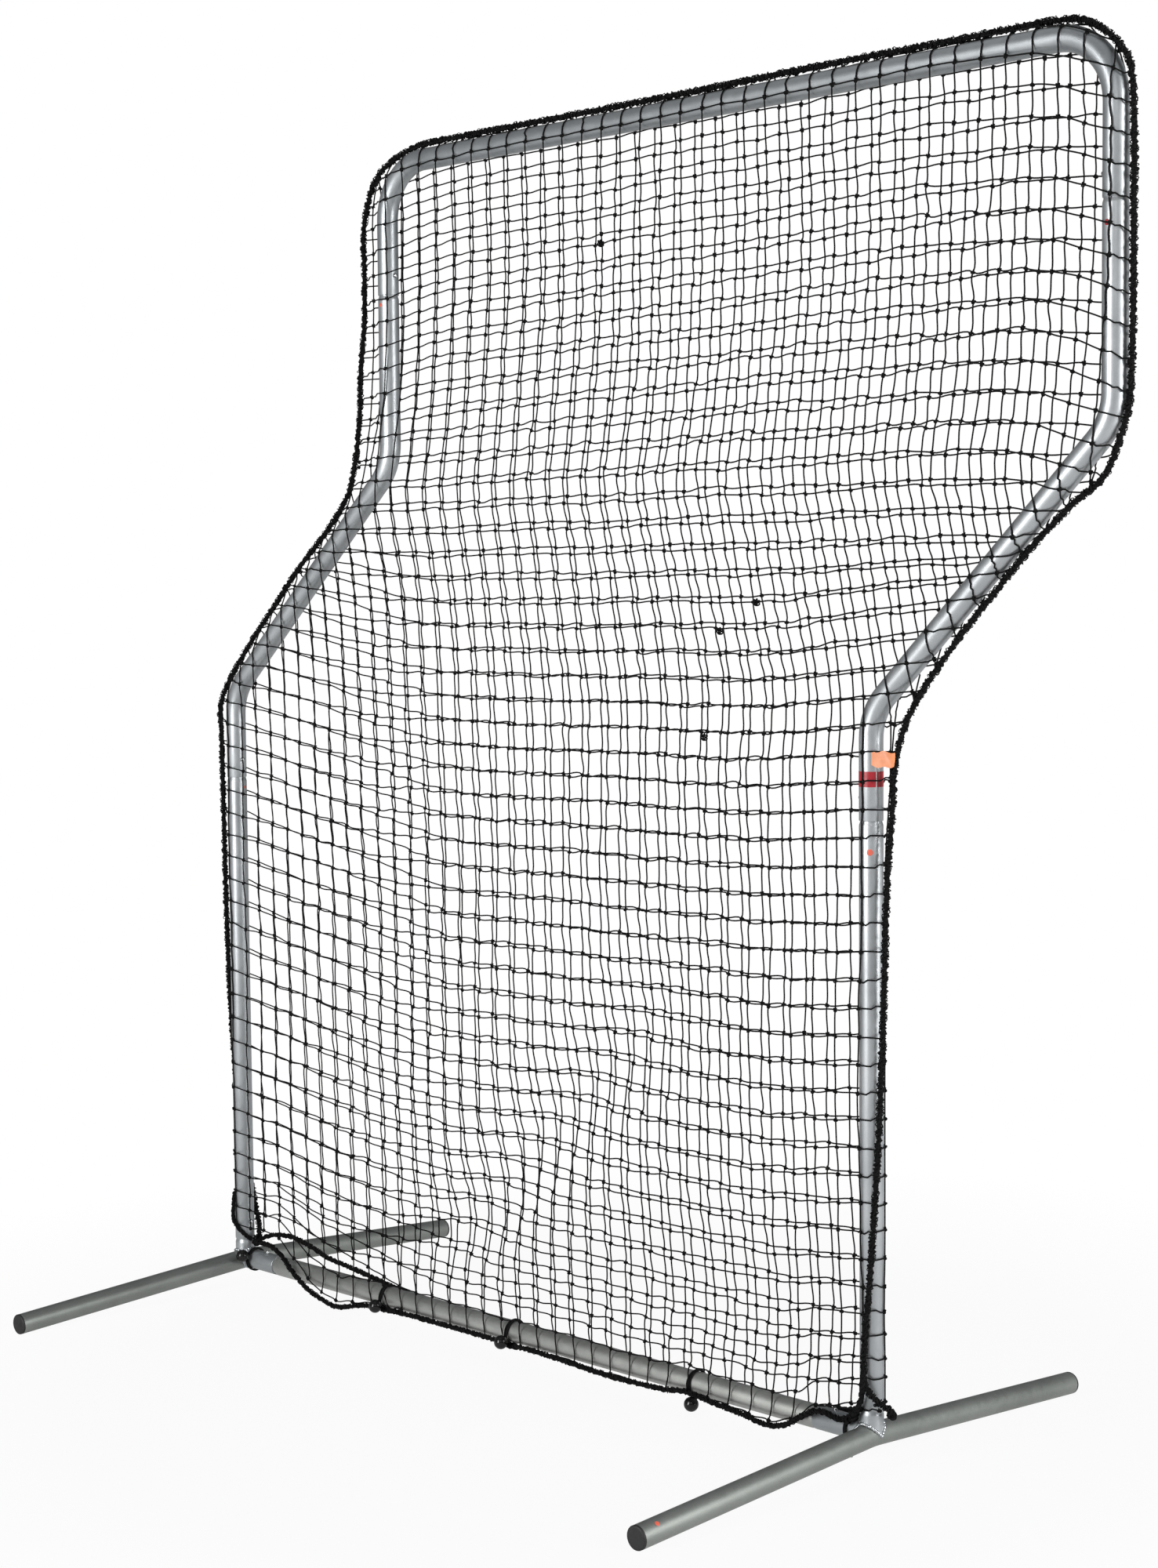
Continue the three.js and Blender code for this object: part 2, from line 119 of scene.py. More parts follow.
def add_light(name, place, target, size, power):
    lamp = bpy.data.lights.new(name, "AREA")
    lamp.shape = "RECTANGLE"
    lamp.size, lamp.size_y = size
    lamp.energy = power
    holder = bpy.data.objects.new(name, lamp)
    bpy.context.scene.collection.objects.link(holder)
    holder.location = place
    holder.rotation_euler = (Vector(target) - Vector(place)).to_track_quat("-Z", "Y").to_euler()


def light_studio():
    """Two tall strips, a weak fill and a weak top light, before a white backdrop that hardly lights."""
    scene = bpy.context.scene
    scene.view_settings.view_transform = "Standard"
    world = bpy.data.worlds.new("studio")
    scene.world = world
    world.use_nodes = True
    nodes, links = world.node_tree.nodes, world.node_tree.links
    nodes.clear()
    output = nodes.new("ShaderNodeOutputWorld")
    mix = nodes.new("ShaderNodeMixShader")
    path = nodes.new("ShaderNodeLightPath")
    seen = nodes.new("ShaderNodeBackground")
    lit = nodes.new("ShaderNodeBackground")
    seen.inputs["Color"].default_value = (1, 1, 1, 1)
    lit.inputs["Color"].default_value = (0.95, 0.98, 1.0, 1)
    lit.inputs["Strength"].default_value = 0.14
    links.new(path.outputs["Is Camera Ray"], mix.inputs["Fac"])
    links.new(lit.outputs["Background"], mix.inputs[1])
    links.new(seen.outputs["Background"], mix.inputs[2])
    links.new(mix.outputs["Shader"], output.inputs["Surface"])
    add_light("front strip", (-0.4, -4.8, 1.9), (-0.1, 0, 1.2), (1.2, 3.2), 172)
    add_light("side strip", (4.6, 0.9, 2.0), (0.1, 0, 1.2), (1.9, 3.2), 185)
    add_light("camera fill", (3.4, -3.6, 3.4), (0, 0, 0.9), (1.6, 1.6), 14)
    add_light("top", (0, 0.4, 5.2), (0, 0, 0), (4.5, 4.5), 14)


def add_floor():
    """A pale floor that fades into the white backdrop, and throws some light up on the object."""
    side = 30
    mesh = bpy.data.meshes.new("floor")
    mesh.from_pydata([(-side, -side, 0), (side, -side, 0), (side, side, 0), (-side, side, 0)], [],
                     [(0, 1, 2, 3)])
    floor = bpy.data.objects.new("floor", mesh)
    bpy.context.scene.collection.objects.link(floor)
    material = new_material("floor_pale")
    nodes, links = material.node_tree.nodes, material.node_tree.links
    nodes.clear()
    output = nodes.new("ShaderNodeOutputMaterial")
    glow = nodes.new("ShaderNodeEmission")
    paint = nodes.new("ShaderNodeBsdfDiffuse")
    paint.inputs["Color"].default_value = (0.55, 0.55, 0.55, 1)
    path = nodes.new("ShaderNodeLightPath")
    place = nodes.new("ShaderNodeNewGeometry")
    length = nodes.new("ShaderNodeVectorMath")
    length.operation = "LENGTH"
    links.new(place.outputs["Position"], length.inputs[0])
    far = nodes.new("ShaderNodeMapRange")
    for key, value in (("From Min", 0.9), ("From Max", 1.9), ("To Min", 0.94), ("To Max", 1.0)):
        far.inputs[key].default_value = value
    links.new(length.outputs["Value"], far.inputs["Value"])
    share = nodes.new("ShaderNodeMapRange")
    share.inputs["To Min"].default_value = 0.32
    links.new(path.outputs["Is Camera Ray"], share.inputs["Value"])
    seen = calculate(material, "MULTIPLY", far.outputs["Result"], share.outputs["Result"])
    mix = nodes.new("ShaderNodeMixShader")
    links.new(seen, mix.inputs["Fac"])
    links.new(paint.outputs["BSDF"], mix.inputs[1])
    links.new(glow.outputs["Emission"], mix.inputs[2])
    links.new(mix.outputs["Shader"], output.inputs["Surface"])
    floor.data.materials.append(material)


# ------------------------------------------------------------------ materials

def new_material(name):
    material = bpy.data.materials.new(name)
    material.use_nodes = True
    return material


def feed(material, socket, value):
    """Gives the material's shader a number or another node's output."""
    target = material.node_tree.nodes["Principled BSDF"].inputs[socket]
    if isinstance(value, float):
        target.default_value = value
    else:
        material.node_tree.links.new(value, target)


def calculate(material, operation, *values):
    """A math node fed with numbers and other nodes' outputs."""
    tree = material.node_tree
    made = tree.nodes.new("ShaderNodeMath")
    made.operation = operation
    for socket, value in zip(made.inputs, values):
        if isinstance(value, (int, float)):
            socket.default_value = value
        else:
            tree.links.new(value, socket)
    return made.outputs[0]


def add_node(material, kind, **inputs):
    node = material.node_tree.nodes.new(kind)
    for key, value in inputs.items():
        node.inputs[key].default_value = value
    return node


def noise(material, scale, detail=3.0, roughness=0.55):
    tree = material.node_tree
    coordinates = tree.nodes.new("ShaderNodeTexCoord")
    made = add_node(material, "ShaderNodeTexNoise", Scale=scale, Detail=detail, Roughness=roughness)
    tree.links.new(coordinates.outputs["Object"], made.inputs["Vector"])
    return made.outputs["Fac"]


def ramp(material, factor, *stops):
    """A colour ramp: stops are (position, colour or grey)."""
    tree = material.node_tree
    made = tree.nodes.new("ShaderNodeValToRGB")
    elements = made.color_ramp.elements
    while len(elements) < len(stops):
        elements.new(0.5)
    for element, (position, value) in zip(elements, stops):
        colour = (value, value, value) if isinstance(value, (int, float)) else value
        element.position = position
        element.color = (*colour, 1)
    tree.links.new(factor, made.inputs["Fac"])
    return made.outputs["Color"]


def bump(material, height, strength, distance, below=None):
    tree = material.node_tree
    made = add_node(material, "ShaderNodeBump", Strength=strength, Distance=distance)
    tree.links.new(height, made.inputs["Height"])
    if below is not None:
        tree.links.new(below, made.inputs["Normal"])
    return made.outputs["Normal"]


def powder_coat(name, dark, light, roughness=0.4):
    """Silver-grey metallic powder coat: fine flake, orange peel and faint handling marks."""
    material = new_material(name)
    flake = noise(material, 1400, 1.0)
    cloud = noise(material, 9, 4.0)
    marks = noise(material, 60, 5.0, 0.7)
    half_cloud = calculate(material, "MULTIPLY", cloud, 0.5)
    mixed = calculate(material, "MULTIPLY_ADD", flake, 0.5, half_cloud)
    peel = bump(material, noise(material, 420, 2.0), 0.10, 0.0004)
    feed(material, "Metallic", 0.78)
    feed(material, "Coat Weight", 0.25)
    feed(material, "Coat Roughness", 0.22)
    feed(material, "Base Color", ramp(material, mixed, (0.33, dark), (0.67, light)))
    feed(material, "Roughness", ramp(material, marks, (0.3, roughness - 0.05), (0.75, roughness + 0.09)))
    feed(material, "Normal", bump(material, flake, 0.05, 0.0002, peel))
    return material


def mottled(name, colours, roughness, relief, metallic=0.0, spread=0.2):
    """A material whose colour, roughness and height each wander with a noise of their own.

    colours and roughness are (noise scale, detail, low, high); relief is (noise scale, detail,
    bump strength, bump distance). spread is how far the colour's two stops stand from the middle.
    """
    material = new_material(name)
    scale, detail, low, high = colours
    stops = (0.5 - spread, low), (0.5 + spread, high)
    feed(material, "Base Color", ramp(material, noise(material, scale, detail), *stops))
    scale, detail, low, high = roughness
    feed(material, "Roughness", ramp(material, noise(material, scale, detail), (0.3, low), (0.7, high)))
    scale, detail, strength, distance = relief
    feed(material, "Normal", bump(material, noise(material, scale, detail), strength, distance))
    feed(material, "Metallic", metallic)
    return material


def weld_metal():
    return mottled("weld_coat", (160, 4, (0.42, 0.44, 0.46), (0.72, 0.74, 0.76)), (90, 3, 0.16, 0.34),
                   (320, 4, 0.5, 0.0008), metallic=0.9)


def bright_steel():
    return mottled("bright_steel", (300, 3, (0.62, 0.63, 0.65), (0.8, 0.81, 0.82)), (500, 3, 0.12, 0.26),
                   (900, 3, 0.08, 0.0002), metallic=1.0)


def moulded_black(name, grey, rough_low, rough_high, grain):
    return mottled(name, (35, 3, grey * 0.8, grey * 1.3), (120, 3, rough_low, rough_high),
                   (grain, 2, 0.15, 0.0003))


def sticker(name, colour):
    shade = tuple(c * 0.82 for c in colour)
    return mottled(name, (70, 4, shade, colour), (200, 3, 0.3, 0.45), (150, 2, 0.12, 0.0003),
                   spread=0.15)


def twisted_yarn(name, strands, pitch_mm, grey=0.004):
    """Black laid twine: the lay of its strands from the sweep's own UVs, and stray fibre. Its colour is
    darker in the grooves between strands and lighter on their crowns, as painted shade.
    """
    material = new_material(name)
    tree = material.node_tree
    coordinates = tree.nodes.new("ShaderNodeTexCoord")
    parts = tree.nodes.new("ShaderNodeSeparateXYZ")
    tree.links.new(coordinates.outputs["UV"], parts.inputs["Vector"])
    along = calculate(material, "MULTIPLY", parts.outputs["Y"], strands / (pitch_mm * MM))
    around = calculate(material, "MULTIPLY_ADD", parts.outputs["X"], strands, along)
    wave = calculate(material, "SINE", calculate(material, "MULTIPLY", around, 2 * math.pi))
    lay = calculate(material, "ABSOLUTE", wave)
    fibre = noise(material, 1600, 4.0, 0.7)
    feed(material, "Specular IOR Level", 0.18)
    # Painted shade: the colour follows the lay, darker in the grooves between the strands and lighter on
    # their crowns.
    feed(material, "Base Color", ramp(material, lay, (0.1, grey * 0.4), (0.9, grey * 1.9)))
    feed(material, "Roughness", ramp(material, fibre, (0.3, 0.62), (0.7, 0.85)))
    feed(material, "Normal", bump(material, fibre, 0.35, 0.0003, bump(material, lay, 0.7, 0.0005)))
    return material


# ------------------------------------------------------------------ mesh building

SHARP_EDGE = math.radians(42)


def add_mesh(name, vertices_mm, faces, material, uvs=None, body="frame"):
    """A smooth mesh from points in millimetres and an array of equal-sided faces, riding on a body."""
    vertices = np.asarray(vertices_mm, float) * MM
    faces = np.asarray(faces)
    mesh = bpy.data.meshes.new(name)
    mesh.vertices.add(len(vertices))
    mesh.vertices.foreach_set("co", vertices.ravel())
    mesh.loops.add(faces.size)
    mesh.loops.foreach_set("vertex_index", faces.ravel())
    mesh.polygons.add(len(faces))
    mesh.polygons.foreach_set("loop_start", np.arange(len(faces)) * faces.shape[1])
    if uvs is not None:
        layer = mesh.uv_layers.new(name="UVMap")
        layer.data.foreach_set("uv", uvs[faces.ravel()].ravel())
    mesh.update(calc_edges=True)
    mesh.polygons.foreach_set("use_smooth", [True] * len(faces))
    mesh.set_sharp_from_angle(angle=SHARP_EDGE)
    mesh.materials.append(material)
    made = bpy.data.objects.new(name, mesh)
    bpy.context.scene.collection.objects.link(made)
    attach(made, body)
    return made


def unit(vectors):
    return vectors / np.maximum(np.linalg.norm(vectors, axis=-1, keepdims=True), 1e-9)


def length_along(points):
    """The length of a line up to each of its points."""
    return np.concatenate([[0], np.cumsum(np.linalg.norm(np.diff(points, axis=0), axis=1))])


def spokes(side, other, angle):
    """Directions at angles round an axis, from one direction across it towards another."""
    return side * np.cos(angle)[..., None] + other * np.sin(angle)[..., None]


def turns_of(sides):
    """The angles of the corners of a ring."""
    return np.arange(sides) * 2 * math.pi / sides


def ring_quads(count, sides, closed):
    """Four-cornered faces between rings of points, each ring joined to the next."""
    runs = np.arange(count if closed else count - 1)[:, None]
    here, ahead = runs * sides, (runs + 1) % count * sides
    k = np.arange(sides)[None, :]
    follow = (k + 1) % sides
    return np.stack([here + k, here + follow, ahead + follow, ahead + k], -1).reshape(-1, 4)


def halves(quads):
    """Each four-cornered face as two triangles."""
    return [quads[:, [0, 1, 2]], quads[:, [0, 2, 3]]]


def frames_along(points, closed=False):
    """Tangents and two normals at every point, carried along without twisting."""
    if closed:
        tangents = unit(np.roll(points, -1, 0) - np.roll(points, 1, 0))
    else:
        tangents = unit(np.gradient(points, axis=0))
    start = np.array([0, 1.0, 0]) if abs(tangents[0][1]) < 0.9 else np.array([0, 0, 1.0])
    normal = unit(start - tangents[0] * (start @ tangents[0]))
    normals = np.empty_like(points)
    for i, tangent in enumerate(tangents):
        normal = normal - tangent * (normal @ tangent)
        normal = normal / np.linalg.norm(normal)
        normals[i] = normal
    return tangents, normals, np.cross(tangents, normals)


class Sweeps:
    """Collects tubes swept along polylines, to make one mesh of them all."""

    def __init__(self):
        self.vertices, self.faces, self.uvs, self.count = [], [], [], 0

    def add(self, points, radius, sides=5, closed=False):
        points = np.asarray(points, float)
        n = len(points)
        tangents, normals, across = frames_along(points, closed)
        angle = turns_of(sides)
        radii = np.broadcast_to(np.asarray(radius, float), n)
        ring = spokes(normals[:, None], across[:, None], angle)
        vertices = (points[:, None] + ring * radii[:, None, None]).reshape(-1, 3)
        length = length_along(points)[:, None] * MM
        uvs = np.stack(np.broadcast_arrays(angle[None] / (2 * math.pi), length), -1)
        faces = halves(ring_quads(n, sides, closed))
        if not closed:
            tips = np.stack([points[0] - tangents[0] * radii[0] * 0.5,
                             points[-1] + tangents[-1] * radii[-1] * 0.5])
            vertices = np.concatenate([vertices, tips])
            uvs = np.concatenate([uvs.reshape(-1, 2), np.zeros((2, 2))])
            rim = np.arange(sides)
            after = (rim + 1) % sides
            last = (n - 1) * sides
            faces.append(np.stack([np.full(sides, n * sides), after, rim], -1))
            faces.append(np.stack([np.full(sides, n * sides + 1), last + rim, last + after], -1))
        self.vertices.append(vertices)
        self.uvs.append(uvs.reshape(-1, 2))
        self.faces.append(np.concatenate(faces) + self.count)
        self.count += len(vertices)

    def add_copies(self, points, radius, sides, places, turns):
        """One closed loop swept once and set down at many places, each turned by its own matrix."""
        single = Sweeps()
        single.add(points, radius, sides, closed=True)
        vertices = single.vertices[0]
        placed = np.einsum("nij,vj->nvi", turns, vertices) + places[:, None]
        faces = single.faces[0][None] + (np.arange(len(places)) * len(vertices))[:, None, None]
        self.vertices.append(placed.reshape(-1, 3))
        self.uvs.append(np.tile(single.uvs[0], (len(places), 1)))
        self.faces.append(faces.reshape(-1, 3) + self.count)
        self.count += len(placed) * len(vertices)

    def build(self, name, material, body="frame"):
        vertices = np.concatenate(self.vertices)
        return add_mesh(name, vertices, np.concatenate(self.faces), material,
                        np.concatenate(self.uvs), body)


def rings_to_mesh(name, rings, material, body="frame"):
    """A closed ring of rings: each ring is a loop of points, and the last joins the first."""
    rings = np.asarray(rings, float)
    quads = ring_quads(*rings.shape[:2], closed=True)
    return add_mesh(name, rings.reshape(-1, 3), quads, material, body=body)


def lathe(name, profile, place, axis, material, body="frame", *, sides):
    """Turns a profile of (radius, height) about an axis. It starts and ends at radius 0."""
    axis = unit(np.asarray(axis, float))
    side = unit(np.cross(axis, [0.31, 0.52, 0.79]))
    other = np.cross(axis, side)
    circle = spokes(side, other, turns_of(sides))
    inner = profile[1:-1]
    vertices = np.concatenate([place + axis * h + circle * r for r, h in inner]
                              + [[place + axis * profile[0][1]], [place + axis * profile[-1][1]]])
    faces = halves(ring_quads(len(inner), sides, closed=False))
    k = np.arange(sides)
    follow = (k + 1) % sides
    top, first, last = [(len(inner) - 1) * sides, len(inner) * sides, len(inner) * sides + 1]
    faces.append(np.stack([np.full(sides, first), follow, k], -1))
    faces.append(np.stack([np.full(sides, last), top + k, top + follow], -1))
    return add_mesh(name, vertices, np.concatenate(faces), material, body=body)


# ------------------------------------------------------------------ frame tubes

def bent_line(corners, radius, step_angle=math.radians(5)):
    """Straight runs through the corners, joined by arcs of one radius."""
    corners = [np.asarray(c, float) for c in corners]
    points = [corners[0]]
    for before, corner, after in zip(corners, corners[1:], corners[2:]):
        into, out = unit(corner - before), unit(after - corner)
        turn = math.acos(np.clip(into @ out, -1, 1))
        side = unit(out - into * (into @ out))
        start = corner - into * radius * math.tan(turn / 2)
        for a in np.linspace(0, turn, max(3, round(turn / step_angle))):
            points.append(start + into * radius * math.sin(a) + side * radius * (1 - math.cos(a)))
    points.append(corners[-1])
    return np.array(points)


# How a tube's ends are shaped: lists of distance in from the end and change of radius.
PLAIN = [(0, 0)]
MOUTH = [(0.0, -0.55), (0.35, -0.2), (0.9, 0.0)]
TUBE_SIDES = 48


def neck_profile():
    """An end with a swaged neck and the rounded shoulder that leads to it."""
    rounded = [(NECK + SHOULDER * t, -SWAGE * (1 + math.cos(math.pi * t)) / 2)
               for t in np.linspace(0, 1, 7)]
    return [(0.0, -SWAGE), *rounded]


def pipe(name, line, start, end, material, radius):
    """A tube with a bore along a line, with shaped ends."""
    first, last = unit(line[1] - line[0]), unit(line[-1] - line[-2])
    points = [line[0] + first * d for d, _ in start]
    radii = [radius + change for _, change in start]
    points += list(line[1:-1])
    radii += [radius] * (len(line) - 2)
    points += [line[-1] - last * d for d, _ in reversed(end)]
    radii += [radius + change for _, change in reversed(end)]
    points, radii = np.array(points), np.array(radii)
    _, normals, across = frames_along(points)
    circle = spokes(normals[:, None], across[:, None], turns_of(TUBE_SIDES))
    outer = points[:, None] + circle * radii[:, None, None]
    inner = points[:, None] + circle * (radii - WALL)[:, None, None]
    return rings_to_mesh(name, np.concatenate([outer, inner[::-1]]), material)


BUTTON_R = 4
BUTTON_TOP = 23.6                       # from the tube's centre line
FLANGE_R = 6
FLANGE = (12.6, 13.8)                   # lower and upper face, from the tube's centre line
HOLE_R = 4.7
DRILLED = (8, 30)                       # a hole's cutter runs from inside the bore to well outside


def drill(tube, place, out):
    """Cuts a snap button's hole through one wall of a tube."""
    start, stop = DRILLED
    profile = [(0, start), (HOLE_R, start), (HOLE_R, stop), (0, stop)]
    cutter = lathe("drill", profile, place, out, tube.data.materials[0], sides=24)
    cut = tube.modifiers.new("hole", "BOOLEAN")
    cut.object = cutter
    cut.solver = "EXACT"
    bpy.context.view_layer.update()
    graph = bpy.context.evaluated_depsgraph_get()
    mesh = bpy.data.meshes.new_from_object(tube.evaluated_get(graph))
    tube.modifiers.clear()
    tube.data = mesh
    mesh.set_sharp_from_angle(angle=SHARP_EDGE)
    bpy.data.objects.remove(cutter)


INWARD = {"left": np.array([1.0, 0, 0]), "right": np.array([-1.0, 0, 0])}
SIDE_X = {"left": LEFT_X, "right": RIGHT_X}
UPPER_X = {"left": UPPER_LEFT_X, "right": UPPER_RIGHT_X}
UP = np.array([0, 0, 1.0])


def button_place(side, joint):
    """Where a snap button stands on its tube's centre line, and the way it points."""
    if joint == "rail":
        outward = -INWARD[side]
        start = LOWER_MID_X + outward[0] * (RAIL_SHOULDER + BUTTON_SETBACK)
        return np.array([start, 0, RAIL_Z]), UP
    heights = {"foot": LOW_JOINT_Z, "middle": MID_JOINT_Z, "upper": HIGH_JOINT_Z}
    x = UPPER_X[side] if joint == "upper" else SIDE_X[side]
    return np.array([x, 0, heights[joint] + BUTTON_SETBACK]), INWARD[side]


def add_frame(coats):
    """The frame's tubes. coats holds a powder coat each for the feet, uprights, top bar and rail; the
    feet's coat is darker, as painted shade.
    """
    tubes = {}

    def add(node, corners, start, end, coat, bend=0, step_angle=math.radians(5), radius=TUBE_R):
        line = bent_line(corners, bend, step_angle)
        tubes[node] = pipe(f"{node}_skin", line, start, end, coats[coat], radius)

    neck = neck_profile()
    for side in ("left", "right"):
        x, high_x = SIDE_X[side], UPPER_X[side]
        crown = (x, 0, FOOT_CROWN_Z)
        mouth = np.array([x, 0, RAIL_Z]) + INWARD[side] * abs(abs(x - LOWER_MID_X) - RAIL_SHOULDER)
        add(f"{side}_foot_tube", [(x, -FOOT_HALF, FOOT_TIP_Z), crown, (x, FOOT_HALF, FOOT_TIP_Z)],
            PLAIN, PLAIN, "foot", FOOT_KINK_R, math.radians(1), APOTHEM)
        add(f"{side}_upright_stub", [crown, (x, 0, LOW_JOINT_Z + NECK)], PLAIN, neck, "upright")
        add(f"{side}_rail_stub", [(x, 0, RAIL_Z), mouth], PLAIN, MOUTH, "top")
        add(f"{side}_lower_upright", [(x, 0, LOW_JOINT_Z), (x, 0, MID_JOINT_Z + NECK)],
            MOUTH, neck, "upright")
        add(f"{side}_offset_tube",
            [(x, 0, MID_JOINT_Z), (x, 0, LOW_BEND_Z), (high_x, 0, HIGH_BEND_Z),
             (high_x, 0, HIGH_JOINT_Z + NECK)], MOUTH, neck, "upright", BEND_R)
    add("top_bar", [(UPPER_LEFT_X, 0, HIGH_JOINT_Z), (UPPER_LEFT_X, 0, TOP_Z),
                    (UPPER_RIGHT_X, 0, TOP_Z), (UPPER_RIGHT_X, 0, HIGH_JOINT_Z)],
        MOUTH, MOUTH, "top", CORNER_R)
    rail_end = RAIL_SHOULDER + NECK
    add("bottom_rail", [(LOWER_MID_X - rail_end, 0, RAIL_Z), (LOWER_MID_X + rail_end, 0, RAIL_Z)],
        neck, neck, "rail")
    for node, tube in tubes.items():
        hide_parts(node)
    return tubes


def add_buttons(tubes, steel):
    """Snap buttons over the CAD's V springs, and the holes that they pass through."""
    low, high = FLANGE
    dome = [(0, low), (FLANGE_R, low), (FLANGE_R, high), (BUTTON_R, high), (BUTTON_R, BUTTON_TOP - 2.4),
            (BUTTON_R - 0.2, BUTTON_TOP - 1.3), (BUTTON_R - 0.9, BUTTON_TOP - 0.5),
            (BUTTON_R - 2.2, BUTTON_TOP - 0.1), (0, BUTTON_TOP)]
    holes = {"foot": ("lower_upright", "upright_stub"), "middle": ("offset_tube", "lower_upright"),
             "upper": (None, "offset_tube"), "rail": ("rail_stub", None)}
    for side in ("left", "right"):
        for joint, pieces in holes.items():
            name = f"{side}_{joint}"
            place, out = button_place(side, joint)
            sleeved = [f"{side}_{piece}" for piece in pieces if piece]
            sleeved += {"upper": ["top_bar"], "rail": ["bottom_rail"]}.get(joint, [])
            for node in sleeved:
                drill(tubes[node], place, out)
            button = lathe(f"{name}_dome", dome, place, out, steel, body=f"{name}_button", sides=32)
            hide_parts(f"{name}_button")
            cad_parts[f"{name}_spring"].material_slots[0].material = steel


def add_welds(metal, coat):
    """Weld beads round each foot's two stubs, and the vent nub under the right foot."""
    for side in ("left", "right"):
        x = SIDE_X[side]
        outward = -INWARD[side][0]
        bearing = turns_of(180)
        ripple = 0.45 * np.sin(bearing * 34) + 0.35 * np.sin(bearing * 11 + 1.3)
        wide = TUBE_R + 0.6
        saddle = np.stack([x + wide * np.cos(bearing), wide * np.sin(bearing),
                           FOOT_CROWN_Z + 1.4 + TUBE_R * np.abs(np.sin(bearing))], -1)
        beads = Sweeps()
        beads.add(saddle, 2.5 + ripple, 10, closed=True)
        y, z = TUBE_R * np.cos(bearing), RAIL_Z + TUBE_R * np.sin(bearing)
        on_stub = np.where(z > FOOT_CROWN_Z, np.sqrt(np.maximum(TUBE_R ** 2 - y ** 2, 0)), 0)
        on_foot = np.sqrt(np.maximum(APOTHEM ** 2 - (z - FOOT_CROWN_Z) ** 2, 0))
        reach = np.maximum(on_stub, on_foot)
        collar = np.stack([x - outward * (reach + 1.2), y * 1.03, RAIL_Z + (z - RAIL_Z) * 1.03], -1)
        beads.add(collar, 2.2 + ripple, 10, closed=True)
        made = beads.build(f"{side}_weld_beads", metal)
        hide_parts(f"{side}_upright_weld")
    nub = np.array([RIGHT_X, -50.0, FOOT_CROWN_Z - APOTHEM - 3.4])
    lathe("foot_vent_nub", [(0, -3.2), (1.6, -2.9), (2.6, -1.8), (3.0, 0.2), (3.2, 2.4), (0, 2.6)],
          nub, UP, coat, sides=20)


def add_plugs(black):
    """The feet's end plugs: a shank in the bore and a softly domed head."""
    r = APOTHEM
    shank_r = r - WALL - 0.4
    shank = -16
    profile = [(0, shank), (shank_r, shank), (shank_r, 0.1), (r - 0.1, 0.15), (r, 0.6),
               (r, 2.6), (r - 0.4, 3.6), (r - 1.4, 4.3), (r - 4, 4.5), (0, 4.3)]
    for side in ("left", "right"):
        for end, sign in (("front", -1), ("rear", 1)):
            place = np.array([SIDE_X[side], sign * FOOT_HALF, FOOT_TIP_Z])
            plug = lathe(f"{side}_{end}_plug_cap", profile, place, (0, sign, 0), black, sides=56)
            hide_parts(f"{side}_{end}_plug")


# ------------------------------------------------------------------ routes of the ropes

# From the middle of the lower frame, millimetres, as in the CAD part.
SEAM_ROUTE = [
    (-786, 12, 88), (-788, 18, 102), (-802, 27, 120), (-812, 29, 146), (-832, 25, 236), (-842, 16, 340),
    (-846, 6, 450), (-847, 0, 560), (-853, 0, 700), (-857, 0, 850), (-859, 0, 1000), (-861, 0, 1105),
    (-862, 0, 1160), (-828, 0, 1215), (-756, 0, 1290), (-680, 0, 1360), (-604, 0, 1430), (-531, 0, 1487),
    (-478, 0, 1535), (-447, 0, 1575), (-426, 0, 1640), (-414, 0, 1715), (-409, 0, 1800), (-397, 0, 1880),
    (-395, 0, 1970), (-396, 0, 2040), (-384, 0, 2090), (-362, 0, 2133), (-316, 0, 2164), (-234, 0, 2184),
    (-110, 0, 2186), (190, 0, 2185), (480, 0, 2185), (730, 0, 2186), (1000, 0, 2185), (1150, 0, 2185),
    (1203, 0, 2178), (1231, 0, 2163), (1256, 0, 2142), (1276, 0, 2116), (1284, 0, 2080), (1287, 0, 2010),
    (1287, 0, 1900), (1287, 0, 1780), (1285, 0, 1690), (1283, 0, 1648), (1273, 0, 1605), (1240, 0, 1535),
    (1187, 0, 1498), (1118, 0, 1440), (1047, 0, 1370), (980, 0, 1302), (912, 0, 1222), (876, 0, 1163),
    (859, 0, 1105), (853, 0, 1030), (848, -6, 920), (847, -10, 800), (844, -11, 700), (841, -12, 620),
    (838, -14, 530), (834, -18, 430), (829, -21, 340), (823, -25, 250), (819, -28, 180), (821, -29, 143),
    (833, -26, 121), (846, -15, 107), (852, -3, 97), (853, 6, 87),
]
FRONT_HEM_ROUTE = [
    (-768, -12, 92), (-740, -20, 97), (-712, -25, 99), (-690, -27, 98), (-667, -29, 91), (-645, -30, 80),
    (-626, -31, 65), (-600, -31, 49), (-570, -31, 34), (-520, -31, 21), (-480, -31, 15), (-440, -29, 18),
    (-400, -21, 23), (-365, -13, 26), (-325, -21, 32), (-260, -24, 33), (-195, -24, 34), (-60, -23, 34),
    (-15, -13, 27), (30, -22, 32), (186, -24, 32), (300, -24, 33), (385, -27, 38), (434, -27, 44),
    (500, -26, 38), (565, -28, 34), (611, -30, 29), (653, -30, 36), (690, -29, 58), (718, -28, 73),
    (743, -28, 75), (763, -28, 71), (785, -26, 74),
]
REAR_HEM_ROUTE = [
    (-778, 11, 92), (-744, 21, 104), (-705, 24, 108), (-671, 25, 106), (-620, 25, 96), (-574, 25, 85),
    (-490, 26, 76), (-429, 27, 68), (-365, 29, 60), (-270, 28, 53), (-120, 28, 50), (60, 28, 50),
    (250, 28, 50), (434, 29, 51), (600, 28, 52), (690, 26, 60), (735, 25, 67), (785, 16, 80),
]
